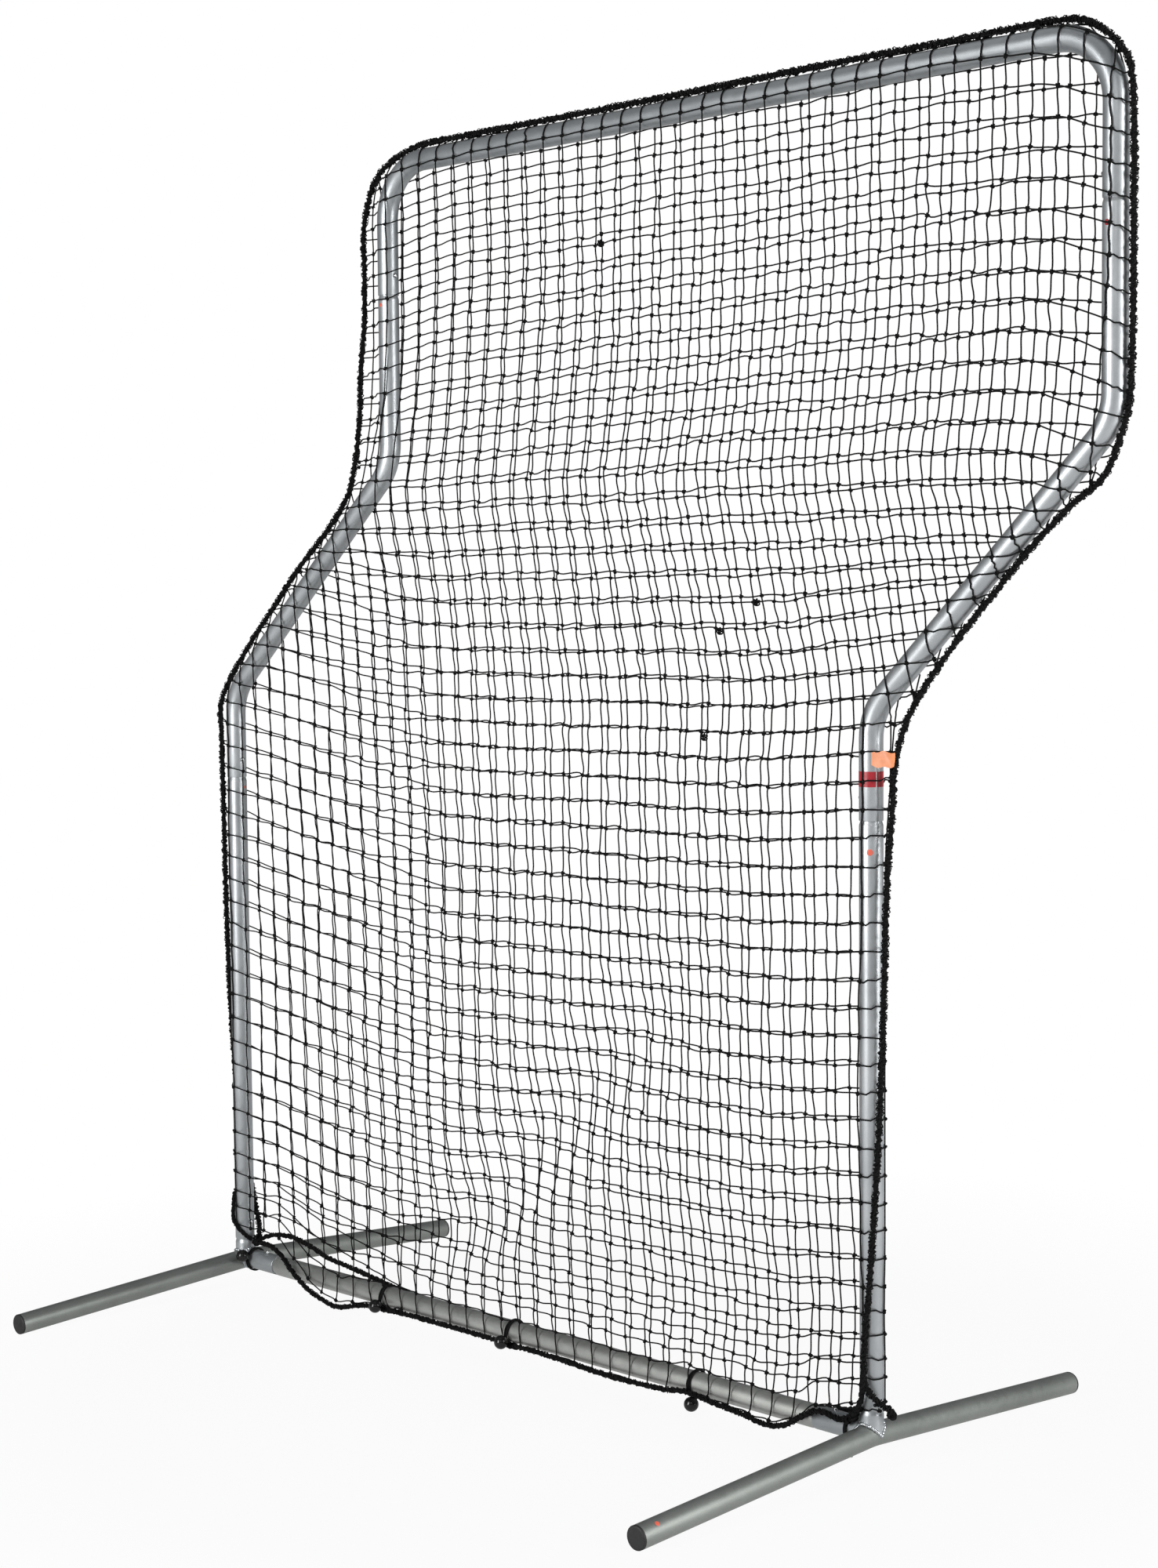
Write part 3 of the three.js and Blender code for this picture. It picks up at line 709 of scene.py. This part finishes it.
# Single strands that leave the lacing rope at the foot of each upright.
LEFT_STRAND_ROUTE = [
    (-817, -20, 186), (-822, -19, 166), (-827, -17, 146), (-828, -17, 134), (-815, -21.5, 124),
    (-803, -20, 113), (-795, -13, 102), (-790, 0, 91),
]
CORNER_STRAND_ROUTE = [(819, -29, 165), (821, -32, 134), (813, -31, 106), (801, -28, 88), (788, -24, 76)]


def fade(value, low, high):
    """0 up to low and 1 from high on, with a smooth rise between."""
    t = np.clip((value - low) / (high - low), 0, 1)
    return t * t * (3 - 2 * t)


ROUTE_STEP = 3.0


def smooth_route(route):
    """Points about one step apart on a smooth line through a route's points."""
    points = np.array(route, float) + [LOWER_MID_X, 0, 0]
    ends = np.concatenate([[2 * points[0] - points[1]], points, [2 * points[-1] - points[-2]]])
    out = []
    for a, b, c, d in zip(ends, ends[1:], ends[2:], ends[3:]):
        n = max(2, round(np.linalg.norm(c - b) / ROUTE_STEP))
        t = np.linspace(0, 1, n, endpoint=False)[:, None]
        out.append(0.5 * (2 * b + (c - a) * t + (2 * a - 5 * b + 4 * c - d) * t ** 2
                          + (3 * b - a - 3 * c + d) * t ** 3))
    out.append(points[-1:])
    return np.concatenate(out)


def draw_in(line, low_x, high_x, distance):
    """Pulls a rope close under the bottom rail between two places along it."""
    x = line[:, 0] - LOWER_MID_X
    share = fade(x, low_x - 70, low_x + 70) * (1 - fade(x, high_x - 120, high_x + 120))
    offset = line[:, 1:] - [0, RAIL_Z]
    length = np.linalg.norm(offset, axis=1)
    closer = np.minimum(1, distance / length)
    line[:, 1:] += offset * ((closer - 1) * share)[:, None]


SEAM = smooth_route(SEAM_ROUTE)
REAR_HEM = smooth_route(REAR_HEM_ROUTE)
FRONT_HEM = smooth_route(FRONT_HEM_ROUTE)
draw_in(FRONT_HEM, -440, 150, TUBE_R + 7)


# ------------------------------------------------------------------ the net

ROW_PITCH = 44.5
COLUMN_PITCH = 46.15
TOP_ROW_Z = TOP_Z - 3                   # the highest row runs along the front of the top bar
FIRST_COLUMN_X = LOWER_MID_X - 213
ROWS = np.arange(-1, 49)
COLUMNS = np.arange(-15, 34)
SUBSTEPS = 6                            # points along each run of twine between two knots
SHORTEST_RUN = 25
KNOT_SIZE = 1.12
KNOT_CLEAR = 5                          # no knot lies closer than this to a layer's edge
KNOT_SPLIT_Z = 1100                     # a layer's knots are two pieces, above and below this height
EDGE_EASE = 190                         # how gently the net comes off the tubes to its own slack
RAIL_EASE = 70                          # and off the bottom rail
RAIL_WRAP = 8                           # below this height over the rail's middle it goes to the hem
BATCH = 4000


def soft_ramp(value, width):
    """0 below zero and rising with slope 1 above it, rounded over a width."""
    return width * np.logaddexp(0, value / width)


# Where the net has been pulled out of square by hands and balls, from the middle of the lower frame:
# centre x and z, spread in x and z, then the shift to the right and upward.
PULLS = [
    (650, 1190, 480, 100, 15, 0),
    (-60, 430, 230, 190, -12, 0),
    (620, 180, 330, 130, 15, 0),
    (60, 1900, 280, 170, 6, 0),
    (815, 960, 70, 210, 9, 0),
]


def ridge_weight(x, z):
    """1 on the slack fold that runs up to the right from the bottom rail, falling to 0 beside it."""
    across = (x - 0.98 * (z - 340)) / 120
    return np.exp(-across ** 2) * (1 - fade(z, 450, 820)) * fade(z, 90, 230)


def relax(x, z, layer):
    """How far hanging and lacing have moved a point of the net from its place in a square grid.

    x and z are from the middle of the lower frame. Returns the shifts along X and Z.
    """
    # The columns lean to the left where the net is drawn in over the frame's step.
    shift_x = -45 * np.exp(-(np.abs(z - 1550) / 190) ** 1.25)
    # The rows are a little closer together in the upper half.
    shift_z = -4 + 0.0233 * (2110 - z.clip(950))
    # They climb to the lower left upright, and sink to both upper tubes.
    climb = soft_ramp(layer["fold_x"] - x, layer["fold_width"]) * layer["climb"]
    shift_z += climb * (1 - fade(z, 1330, 1520)) * (0.45 + 0.55 * fade(z, 0, 700))
    shift_z += 0.09 * soft_ramp(x - 600, 25) * (1 - fade(z, 1300, 1450))
    sink = 0.05 * soft_ramp(x - 950, 40) + layer["sink"] * soft_ramp(x - 1150, 15)
    shift_z += (layer["tilt"] * soft_ramp(x - 800, 60) - sink) * fade(z, 1400, 1600)
    shift_z -= 0.09 * soft_ramp(-165 - x, 18) * fade(z, 1600, 1750)
    shift_z += layer["gather"] * (1 - fade(z, 1000, 1500))
    shift_x -= layer["bunch"] * np.exp(-((x - 840) / 30) ** 2) * (1 - fade(z, 900, 1100))
    # Low down, a slack ridge runs from the rail up to the right.
    shift_x += 15 * ridge_weight(x, z)
    shift_z += 15 * ridge_weight(x, z)
    for pull_x, pull_z, wide, tall, right, up in PULLS:
        weight = np.exp(-((x - pull_x) / wide) ** 2 - ((z - pull_z) / tall) ** 2)
        shift_x += right * weight
        shift_z += up * weight
    # The lowest rows follow the hem.
    hem_z = np.interp(x + LOWER_MID_X, layer["hem"][:, 0], layer["hem"][:, 2])
    shift_z += (hem_z - 40) * np.exp(-np.maximum(z - 40, 0) / 110)
    ripple = np.sin(x / 97 + z / 61 + layer["phase"]) + np.sin(z / 83 - x / 141 + 2)
    return shift_x + 1.3 * ripple, shift_z + 1.3 * np.sin(x / 71 - z / 118 + layer["phase"])


def screen_line():
    """The frame tubes' centre line round the net, as points and inward normals in X and Z."""
    corners = [(LEFT_X, 0), (LEFT_X, LOW_BEND_Z), (UPPER_LEFT_X, HIGH_BEND_Z), (UPPER_LEFT_X, TOP_Z),
               (UPPER_RIGHT_X, TOP_Z), (UPPER_RIGHT_X, HIGH_BEND_Z), (RIGHT_X, LOW_BEND_Z), (RIGHT_X, 0)]
    coarse = bent_line(corners, BEND_R)
    length = length_along(coarse)
    at = np.arange(0, length[-1], 5.0)
    line = np.stack([np.interp(at, length, coarse[:, 0]), np.interp(at, length, coarse[:, 1])], -1)
    along = unit(np.gradient(line, axis=0))
    return line, np.stack([along[:, 1], -along[:, 0]], -1)


LINE, INSIDE = screen_line()


def rope_bearings():
    """The lacing rope's distance from the tubes' centre line and its bearing: 0 outward, + to the front."""
    centres = np.stack([LINE[:, 0], np.zeros(len(LINE)), LINE[:, 1]], -1)
    gap = np.linalg.norm(SEAM[None] - centres[:, None], axis=-1)
    nearest = SEAM[gap.argmin(1)] - centres
    outward = -(nearest[:, [0, 2]] * INSIDE).sum(1)
    bearing = np.arctan2(-nearest[:, 1], outward)
    return np.maximum(gap.min(1), WRAP_R + 1), bearing


ROPE_GAP, ROPE_BEARING = rope_bearings()


def nearest_on_line(points):
    """The index of the nearest point of LINE to each point, a few thousand at a time."""
    nearest = np.empty(len(points), int)
    for start in range(0, len(points), BATCH):
        part = points[start:start + BATCH]
        gap = ((part[:, None] - LINE[None]) ** 2).sum(-1)
        nearest[start:start + BATCH] = gap.argmin(1)
    return nearest


def place_on_layer(flat, layer):
    """Lifts flat points (X, Z) on to a layer: over the tubes, round to the rope, or down to the hem.

    Returns the points, and how far inside the layer's edge each one is (0 at the rope or hem).
    """
    i = nearest_on_line(flat)
    inside = ((flat - LINE[i]) * INSIDE[i]).sum(1)
    facing = layer["facing"]
    reach = np.arccos(WRAP_R / ROPE_GAP[i])
    bearing = facing * ROPE_BEARING[i]
    leave = np.minimum(bearing + reach, math.pi / 2)
    arc = WRAP_R * (math.pi / 2 - leave)
    end_out, end_up = ROPE_GAP[i] * np.cos(bearing), ROPE_GAP[i] * np.sin(bearing)
    off_out, off_up = WRAP_R * np.cos(leave), WRAP_R * np.sin(leave)
    straight = np.hypot(end_out - off_out, end_up - off_up)
    past = np.maximum(-inside, 0)
    angle = math.pi / 2 - np.minimum(past, arc) / WRAP_R
    t = np.clip((past - arc) / straight, 0, 1)
    out = np.where(past <= arc, WRAP_R * np.cos(angle), off_out + (end_out - off_out) * t)
    up = np.where(past <= arc, WRAP_R * np.sin(angle), off_up + (end_up - off_up) * t)

    x, z = flat[:, 0], flat[:, 1]
    slack = layer["slack"] + 2 * np.sin(x / 170 + z / 210 + layer["phase"])
    slack = slack - facing * 14 * ridge_weight(x - LOWER_MID_X, z)
    panel = slack + (WRAP_R - slack) * np.exp(-np.maximum(inside, 0) / EDGE_EASE)
    panel = panel + (WRAP_R + 0.8 - panel) * np.exp(-np.maximum(z - RAIL_Z - TUBE_R, 0) / RAIL_EASE)
    hem_z = np.interp(x, layer["hem"][:, 0], layer["hem"][:, 2])
    hem_up = np.interp(x, layer["hem"][:, 0], -facing * layer["hem"][:, 1])
    wrap_z = RAIL_Z + RAIL_WRAP
    below = np.clip((wrap_z - z) / np.maximum(wrap_z - hem_z, 4), 0, 1)
    panel = panel + (hem_up - panel) * below
    up = np.where(inside > 0, panel, up)
    spread = np.where((inside > 0)[:, None], flat, LINE[i] - INSIDE[i] * out[:, None])
    points = np.stack([spread[:, 0], -facing * up, spread[:, 1]], -1)
    room = np.minimum(arc + straight - past, z - hem_z)
    return points, room


def knot_grid(layer):
    """Flat places of all knots, and the directions in which a row and a column leave each of them."""
    columns, rows = np.meshgrid(COLUMNS + layer["column_shift"], ROWS + layer["row_shift"])
    x = FIRST_COLUMN_X - LOWER_MID_X + COLUMN_PITCH * columns
    z = TOP_ROW_Z - ROW_PITCH * rows
    shift_x, shift_z = relax(x, z, layer)
    jitter = rng.normal(0, 1.0, (*x.shape, 2))
    flat = np.stack([x + LOWER_MID_X + shift_x, z + shift_z], -1) + jitter
    along_row = np.gradient(flat, axis=1)
    along_column = -np.gradient(flat, axis=0)
    row_angle = np.arctan2(along_row[..., 1], along_row[..., 0])
    column_angle = np.arctan2(-along_column[..., 0], along_column[..., 1])
    edge = nearest_on_line(flat.reshape(-1, 2)).reshape(x.shape)
    slackness = 0.5 + np.clip(((flat - LINE[edge]) * INSIDE[edge]).sum(-1) / 250, 0, 1)
    turn = 0.5 * (row_angle + column_angle) + np.radians(rng.normal(-10, 5, x.shape)) * slackness
    row_way = np.stack([np.cos(turn), np.sin(turn)], -1) * COLUMN_PITCH
    column_way = np.stack([np.sin(turn), -np.cos(turn)], -1) * ROW_PITCH
    return flat, row_way, column_way, turn


def curve_through(places, ways):
    """A smooth line through knots that leaves each one in its own direction."""
    t = (np.arange(SUBSTEPS) / SUBSTEPS)[None, :, None]
    a, b = places[:-1, None], places[1:, None]
    from_a, to_b = ways[:-1, None], ways[1:, None]
    line = ((2 * t ** 3 - 3 * t ** 2 + 1) * a + (t ** 3 - 2 * t ** 2 + t) * from_a
            + (3 * t ** 2 - 2 * t ** 3) * b + (t ** 3 - t ** 2) * to_b)
    return np.concatenate([line.reshape(-1, 2), places[-1:]])


def runs_inside(points, room):
    """The stretches of a line that lie inside the layer's edge, each ended on the edge itself."""
    inside = room > 0
    starts = np.flatnonzero(inside & ~np.concatenate([[False], inside[:-1]]))
    stops = np.flatnonzero(inside & ~np.concatenate([inside[1:], [False]]))
    for start, stop in zip(starts, stops):
        run = [points[start:stop + 1]]
        if start > 0:
            share = room[start] / (room[start] - room[start - 1])
            run.insert(0, (points[start] + (points[start - 1] - points[start]) * share)[None])
        if stop + 1 < len(points):
            share = room[stop] / (room[stop] - room[stop + 1])
            run.append((points[stop] + (points[stop + 1] - points[stop]) * share)[None])
        run = np.concatenate(run)
        if np.linalg.norm(run[-1] - run[0]) > SHORTEST_RUN:
            yield run


def knot_shape():
    """The closed line of one knot: three lobes that pass over and under, about 9 mm across."""
    t = turns_of(18)
    return KNOT_SIZE * np.stack([np.sin(t) + 2 * np.sin(2 * t), -1.3 * np.sin(3 * t),
                                 np.cos(t) - 2 * np.cos(2 * t)], -1)


def turn_matrices(turns, tilt=0.35):
    """Rotations in the net's plane, each tipped a little out of it."""
    a = turns + rng.uniform(0, 2 * math.pi, len(turns))
    b = rng.normal(0, tilt, len(turns))
    zero, one = np.zeros(len(a)), np.ones(len(a))
    spin = np.stack([np.cos(a), zero, -np.sin(a), zero, one, zero, np.sin(a), zero, np.cos(a)], -1)
    tip = np.stack([one, zero, zero, zero, np.cos(b), -np.sin(b), zero, np.sin(b), np.cos(b)], -1)
    return np.einsum("nij,njk->nik", tip.reshape(-1, 3, 3), spin.reshape(-1, 3, 3))


def add_net_layer(name, layer, yarn, node):
    """One layer of knotted net, in four pieces: its rows, its columns and its knots."""
    flat, row_way, column_way, turn = knot_grid(layer)
    edge_knots = []
    for part, places, ways in (("rows", flat, row_way),
                               ("columns", flat.swapaxes(0, 1), column_way.swapaxes(0, 1))):
        twines = Sweeps()
        for line, way in zip(places, ways):
            points, room = place_on_layer(curve_through(line, way), layer)
            for run in runs_inside(points, room):
                twines.add(run, TWINE_R, 5)
                edge_knots += [run[0], run[-1]]
        twines.build(f"{name}_{part}", yarn)
    knots, room = place_on_layer(flat.reshape(-1, 2), layer)
    inside = room > KNOT_CLEAR
    places = np.concatenate([knots[inside], np.array(edge_knots)])
    turns = np.concatenate([turn.reshape(-1)[inside], np.zeros(len(edge_knots))])
    high = places[:, 2] > KNOT_SPLIT_Z
    for part, chosen in (("upper_knots", high), ("lower_knots", ~high)):
        lumps = Sweeps()
        lumps.add_copies(knot_shape(), TWINE_R, 4, places[chosen], turn_matrices(turns[chosen]))
        lumps.build(f"{name}_{part}", yarn)
    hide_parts(node)


# ------------------------------------------------------------------ ropes and bungees

STRANDS = 3
STRAND_R = 2.0
STRAND_OUT = 2.3
STRAND_PITCH = 27
WINDING_PITCHES = (13, -16, 21, -11)    # of the whipping twines; a minus winds the other way
WHIPPING_STEP = 12                      # how often the whipping's thickness changes
LOOSE_LOOP_GAP = 3.2                    # length of rope for each loop that stands off it


def rope(name, line, material, node=None, bulk=1.0):
    """A laid three-strand rope under a ragged whipping of lacing twine, with loops standing off it."""
    tangents, normals, across = frames_along(line)
    length = length_along(line)
    marks = np.arange(0, length[-1] + 2 * WHIPPING_STEP, WHIPPING_STEP)
    made = Sweeps()
    for strand in range(STRANDS):
        a = 2 * math.pi * (length / STRAND_PITCH + strand / STRANDS)
        out = spokes(normals, across, a)
        made.add(line + out * STRAND_OUT, STRAND_R, 6)
    for winding, pitch in enumerate(WINDING_PITCHES):
        reach = np.interp(length, marks, rng.uniform(3.6, 3.9 + 2.9 * bulk, len(marks)))
        a = 2 * math.pi * length / pitch + winding * 1.7
        out = spokes(normals, across, a)
        made.add(line + out * reach[:, None], TWINE_R * 0.8, 4)
    for i in rng.integers(2, len(line) - 2, int(length[-1] / LOOSE_LOOP_GAP * bulk)):
        a = rng.uniform(0, 2 * math.pi)
        out = normals[i] * math.cos(a) + across[i] * math.sin(a)
        side = unit(tangents[i] * rng.uniform(-1, 1) + np.cross(tangents[i], out) * rng.uniform(-1, 1))
        t = np.linspace(0, math.pi, 6)[:, None]
        height = rng.uniform(1.6, 3.6) * bulk
        loop = line[i] + out * (3.6 + height * np.sin(t)) - side * 2.8 * np.cos(t)
        made.add(loop, 0.75, 4)
    piece = made.build(name, material)
    if node:
        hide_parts(node)


def tied_lump(name, place, size, material, twine=1.9):
    """A bulky hand-tied knot: rope turned many times round one point."""
    t = turns_of(90)
    spread = 1 + 0.35 * np.cos(5 * t)
    line = np.stack([np.cos(2 * t) * spread, 0.8 * np.sin(5 * t) + 0.25 * np.sin(3 * t),
                     np.sin(2 * t) * spread], -1) * size * 0.62
    made = Sweeps()
    made.add(np.asarray(place, float) + line, twine, 6, closed=True)
    piece = made.build(name, material)


# Where the ropes' ends are tied, and how big each lump is.
TIED_ENDS = (
    ("left_corner_knot", (-784, 8, 93), 9), ("left_corner_knot_low", (-778, 2, 86), 7),
    ("right_corner_knot", (792, -23, 80), 10), ("right_corner_knot_low", (780, -23, 72), 8),
    ("right_tail_knot", (849, 6, 85), 6), ("right_tail_end", (840, 10, 84), 5),
)
# Places in the front layer where a torn mesh has been knotted together.
MENDED_MESHES = ((592, 1359), (512, 1313), (476, 1140), (245, 1960))


def add_ropes(yarn):
    rope("seam_rope_laid", SEAM, yarn, "seam_rope")
    rope("front_hem_laid", FRONT_HEM, yarn, "front_hem_rope", bulk=0.55)
    rope("rear_hem_laid", REAR_HEM, yarn, "rear_hem_rope", bulk=0.55)
    rope("corner_strand", smooth_route(CORNER_STRAND_ROUTE), yarn, bulk=0.5)
    rope("left_strand", smooth_route(LEFT_STRAND_ROUTE), yarn, bulk=0.3)
    for name, (x, y, z), size in TIED_ENDS:
        tied_lump(name, (x + LOWER_MID_X, y, z), size, yarn)
    for number, (x, z) in enumerate(MENDED_MESHES, 1):
        tied_lump(f"mended_mesh_{number}", (x + LOWER_MID_X, -19, z), 6.5, yarn, twine=TWINE_R)


BALL_R = 12.5
ELASTIC_R = 1.9
LOOP_R = TUBE_R + 0.6 + ELASTIC_R


def add_bungees(yarn, gloss):
    """Each bungee: two strands of sleeved elastic round the rail, and the ball they pass through."""
    for number in range(1, 6):
        body = f"bungee_{number}"
        low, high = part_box(f"{body}_ball")
        ball_at = np.array([(a + b) / 2 / MM for a, b in zip(low, high)])
        x = ball_at[0]
        axis_at = np.array([x, 0, RAIL_Z])
        toward = unit(ball_at - axis_at)
        start = math.atan2(toward[2], toward[1])
        loops = Sweeps()
        for strand, lean in ((-1, 0.9), (1, -0.6)):
            # The ball is at half a turn: there a strand stands off the rail and nears the other one.
            a = turns_of(60)
            radius = LOOP_R + 2.2 * np.exp(-((a - math.pi) / 0.35) ** 2)
            sway = strand * (2.2 - 1.2 * np.exp(-((a - math.pi) / 0.5) ** 2)) + lean * np.cos(a)
            bearing = a + start + math.pi
            ring = np.stack([x + sway, radius * np.cos(bearing), RAIL_Z + radius * np.sin(bearing)], -1)
            loops.add(ring, ELASTIC_R, 8, closed=True)
        elastic = loops.build(f"{body}_elastic", yarn, body)
        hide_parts(f"{body}_loop")
        profile = [(0, -BALL_R + 1.2), (2.4, -BALL_R + 1.0), (3.4, -BALL_R + 0.5)]
        for a in np.linspace(math.radians(18), math.radians(174), 22):
            profile.append((BALL_R * math.sin(a), -BALL_R * math.cos(a)))
        profile.append((0, BALL_R - 0.05))
        ball = lathe(f"{body}_bead", profile, ball_at, toward, gloss, body, sides=36)
        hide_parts(f"{body}_ball")


# ------------------------------------------------------------------ stickers

def wrap_band(name, x, low, high, start, stop, lift, material):
    """A band stuck round an upright, from one bearing to another."""
    angle = np.linspace(start, stop, 64)
    across = spokes(np.array([1, 0, 0]), np.array([0, 1, 0]), angle)
    inner, outer = TUBE_R + 0.02, TUBE_R + lift
    section = np.stack([[x, 0, z] + across * r for r, z in
                        ((inner, low), (outer, low), (outer, high), (inner, high))], 1)
    n = len(angle)
    caps = np.array([[3, 2, 1, 0], [4 * n - 4, 4 * n - 3, 4 * n - 2, 4 * n - 1]])
    faces = np.concatenate([ring_quads(n, 4, closed=False), caps])
    add_mesh(name, section.reshape(-1, 3), faces, material)


def round_sticker(name, centre, axis, outward, size, material):
    """A small disc stuck on the side of a tube, curved with it."""
    axis, outward = unit(np.array(axis, float)), unit(np.array(outward, float))
    side = np.cross(axis, outward)
    turns = turns_of(24)
    rings = []
    for share, lift in ((0.05, 0.25), (0.6, 0.25), (0.95, 0.22), (1.0, 0.05), (0.6, -0.2), (0.05, -0.2)):
        along, a = share * size * np.sin(turns), share * size * np.cos(turns) / TUBE_R
        ring = spokes(outward, side, a)
        rings.append(np.array(centre, float) + axis * along[:, None] + ring * (TUBE_R + lift))
    rings_to_mesh(name, rings, material)


def add_stickers():
    """The band at the right middle joint, small dots on the tubes, and the tag."""
    red = sticker("red_film", (0.42, 0.02, 0.03))
    white = sticker("white_film", (0.8, 0.8, 0.78))
    orange = sticker("orange_tag_film", (0.95, 0.33, 0.14))
    coral = sticker("coral_film", (0.9, 0.16, 0.1))
    low, high = 1073, 1097
    seam = math.atan2(-0.435, 0.90)
    wrap_band("joint_band_white", RIGHT_X, low + 0.6, high - 0.6, seam - 0.2, seam + 0.2, 0.12, white)
    wrap_band("joint_band_red", RIGHT_X, low, high, seam + 0.04, seam - 0.04 + 2 * math.pi, 0.25, red)
    for name, x, z, bearing, size, film in (
            ("dot_right_middle", RIGHT_X, 972, -57, 5.0, coral),
            ("dot_right_upper", UPPER_RIGHT_X, 1888, -96, 4.4, red),
            ("dot_left_upper", UPPER_LEFT_X, 1906, -90, 3.4, coral),
            ("dot_left_middle", LEFT_X, 1000, 19, 3.2, coral)):
        outward = (math.cos(math.radians(bearing)), math.sin(math.radians(bearing)), 0)
        round_sticker(name, (x, 0, z), UP, outward, size, film)
    foot_drop = (FOOT_CROWN_Z - FOOT_TIP_Z) / FOOT_HALF
    foot_y = -498
    round_sticker("dot_right_foot", (RIGHT_X, foot_y, FOOT_CROWN_Z + foot_y * foot_drop),
                  (0, 1, foot_drop), (0.62, 0, 0.78), 4.0, coral)
    add_tag(orange)


def add_tag(material):
    """A slip of bright film tied to the lacing rope beside the upper end of the right upright."""
    across, upward = np.meshgrid(np.linspace(0, 1, 9), np.linspace(0, 1, 7))
    x = RIGHT_X + 13.5 + 37.5 * across + 1.2 * across * np.sin(upward * 3)
    y = -16.2 + 10 * across ** 1.5 + 1.6 * np.sin(across * 5 + upward * 2) * across
    z = 1106 + 21 * upward - 3.5 * np.sin(across * 3) * (0.5 - upward) + 1.5 * np.cos(across * 11)
    front = np.stack([x, y, z], -1).reshape(-1, 3)
    back = front + [0.2, 0.35, 0]
    n, m = across.shape
    index = np.arange(n * m).reshape(n, m)
    cells = np.stack([index[:-1, :-1], index[:-1, 1:], index[1:, 1:], index[1:, :-1]], -1).reshape(-1, 4)
    rim = np.concatenate([index[0, :-1], index[:-1, -1], index[-1, :0:-1], index[:0:-1, 0]])
    after = np.roll(rim, -1)
    edge = np.stack([after, rim, rim + n * m, after + n * m], -1)
    faces = np.concatenate([cells, cells[:, ::-1] + n * m, edge])
    add_mesh("lacing_tag", np.concatenate([front, back]), faces, material)


# ------------------------------------------------------------------ build

aim_camera()
light_studio()
add_floor()

coats = {
    "top": powder_coat("powder_coat_top", (0.34, 0.365, 0.38), (0.53, 0.555, 0.57)),
    "upright": powder_coat("powder_coat_upright", (0.41, 0.43, 0.445), (0.62, 0.645, 0.66)),
    "rail": powder_coat("powder_coat_rail", (0.38, 0.39, 0.37), (0.62, 0.63, 0.60), 0.42),
    # Painted shade: the feet's coat is darker than the uprights' to stand in for less light falling on the
    # feet.
    "foot": powder_coat("powder_coat_foot_painted_shade", (0.23, 0.245, 0.23), (0.37, 0.39, 0.37), 0.46),
}
steel = bright_steel()
twine = twisted_yarn("twine_black", 2, 6.0)
cord = twisted_yarn("rope_black", 2, 5.0)
elastic = twisted_yarn("elastic_sleeve", 6, 9.0, 0.006)
matt = moulded_black("plug_black", 0.016, 0.5, 0.68, 700)
gloss = moulded_black("ball_black", 0.006, 0.12, 0.24, 260)

tubes = add_frame(coats)
add_buttons(tubes, steel)
add_welds(weld_metal(), coats["upright"])
add_plugs(matt)
FRONT = {"facing": 1, "hem": FRONT_HEM, "slack": 18, "fold_x": -350, "fold_width": 45,
         "climb": 0.137, "gather": 0, "sink": 0.28, "tilt": 0, "bunch": 0, "phase": 0,
         "row_shift": 0, "column_shift": 0}
REAR = {"facing": -1, "hem": REAR_HEM, "slack": 18, "fold_x": -215, "fold_width": 25,
        "climb": 0.178, "gather": 8, "sink": 0.08, "tilt": 0.027, "bunch": 15, "phase": 1.7,
        "row_shift": 0.22, "column_shift": -0.11}
add_net_layer("front_net", FRONT, twine, "net_front")
add_net_layer("rear_net", REAR, twine, "net_rear")
add_ropes(cord)
add_bungees(elastic, gloss)
add_stickers()
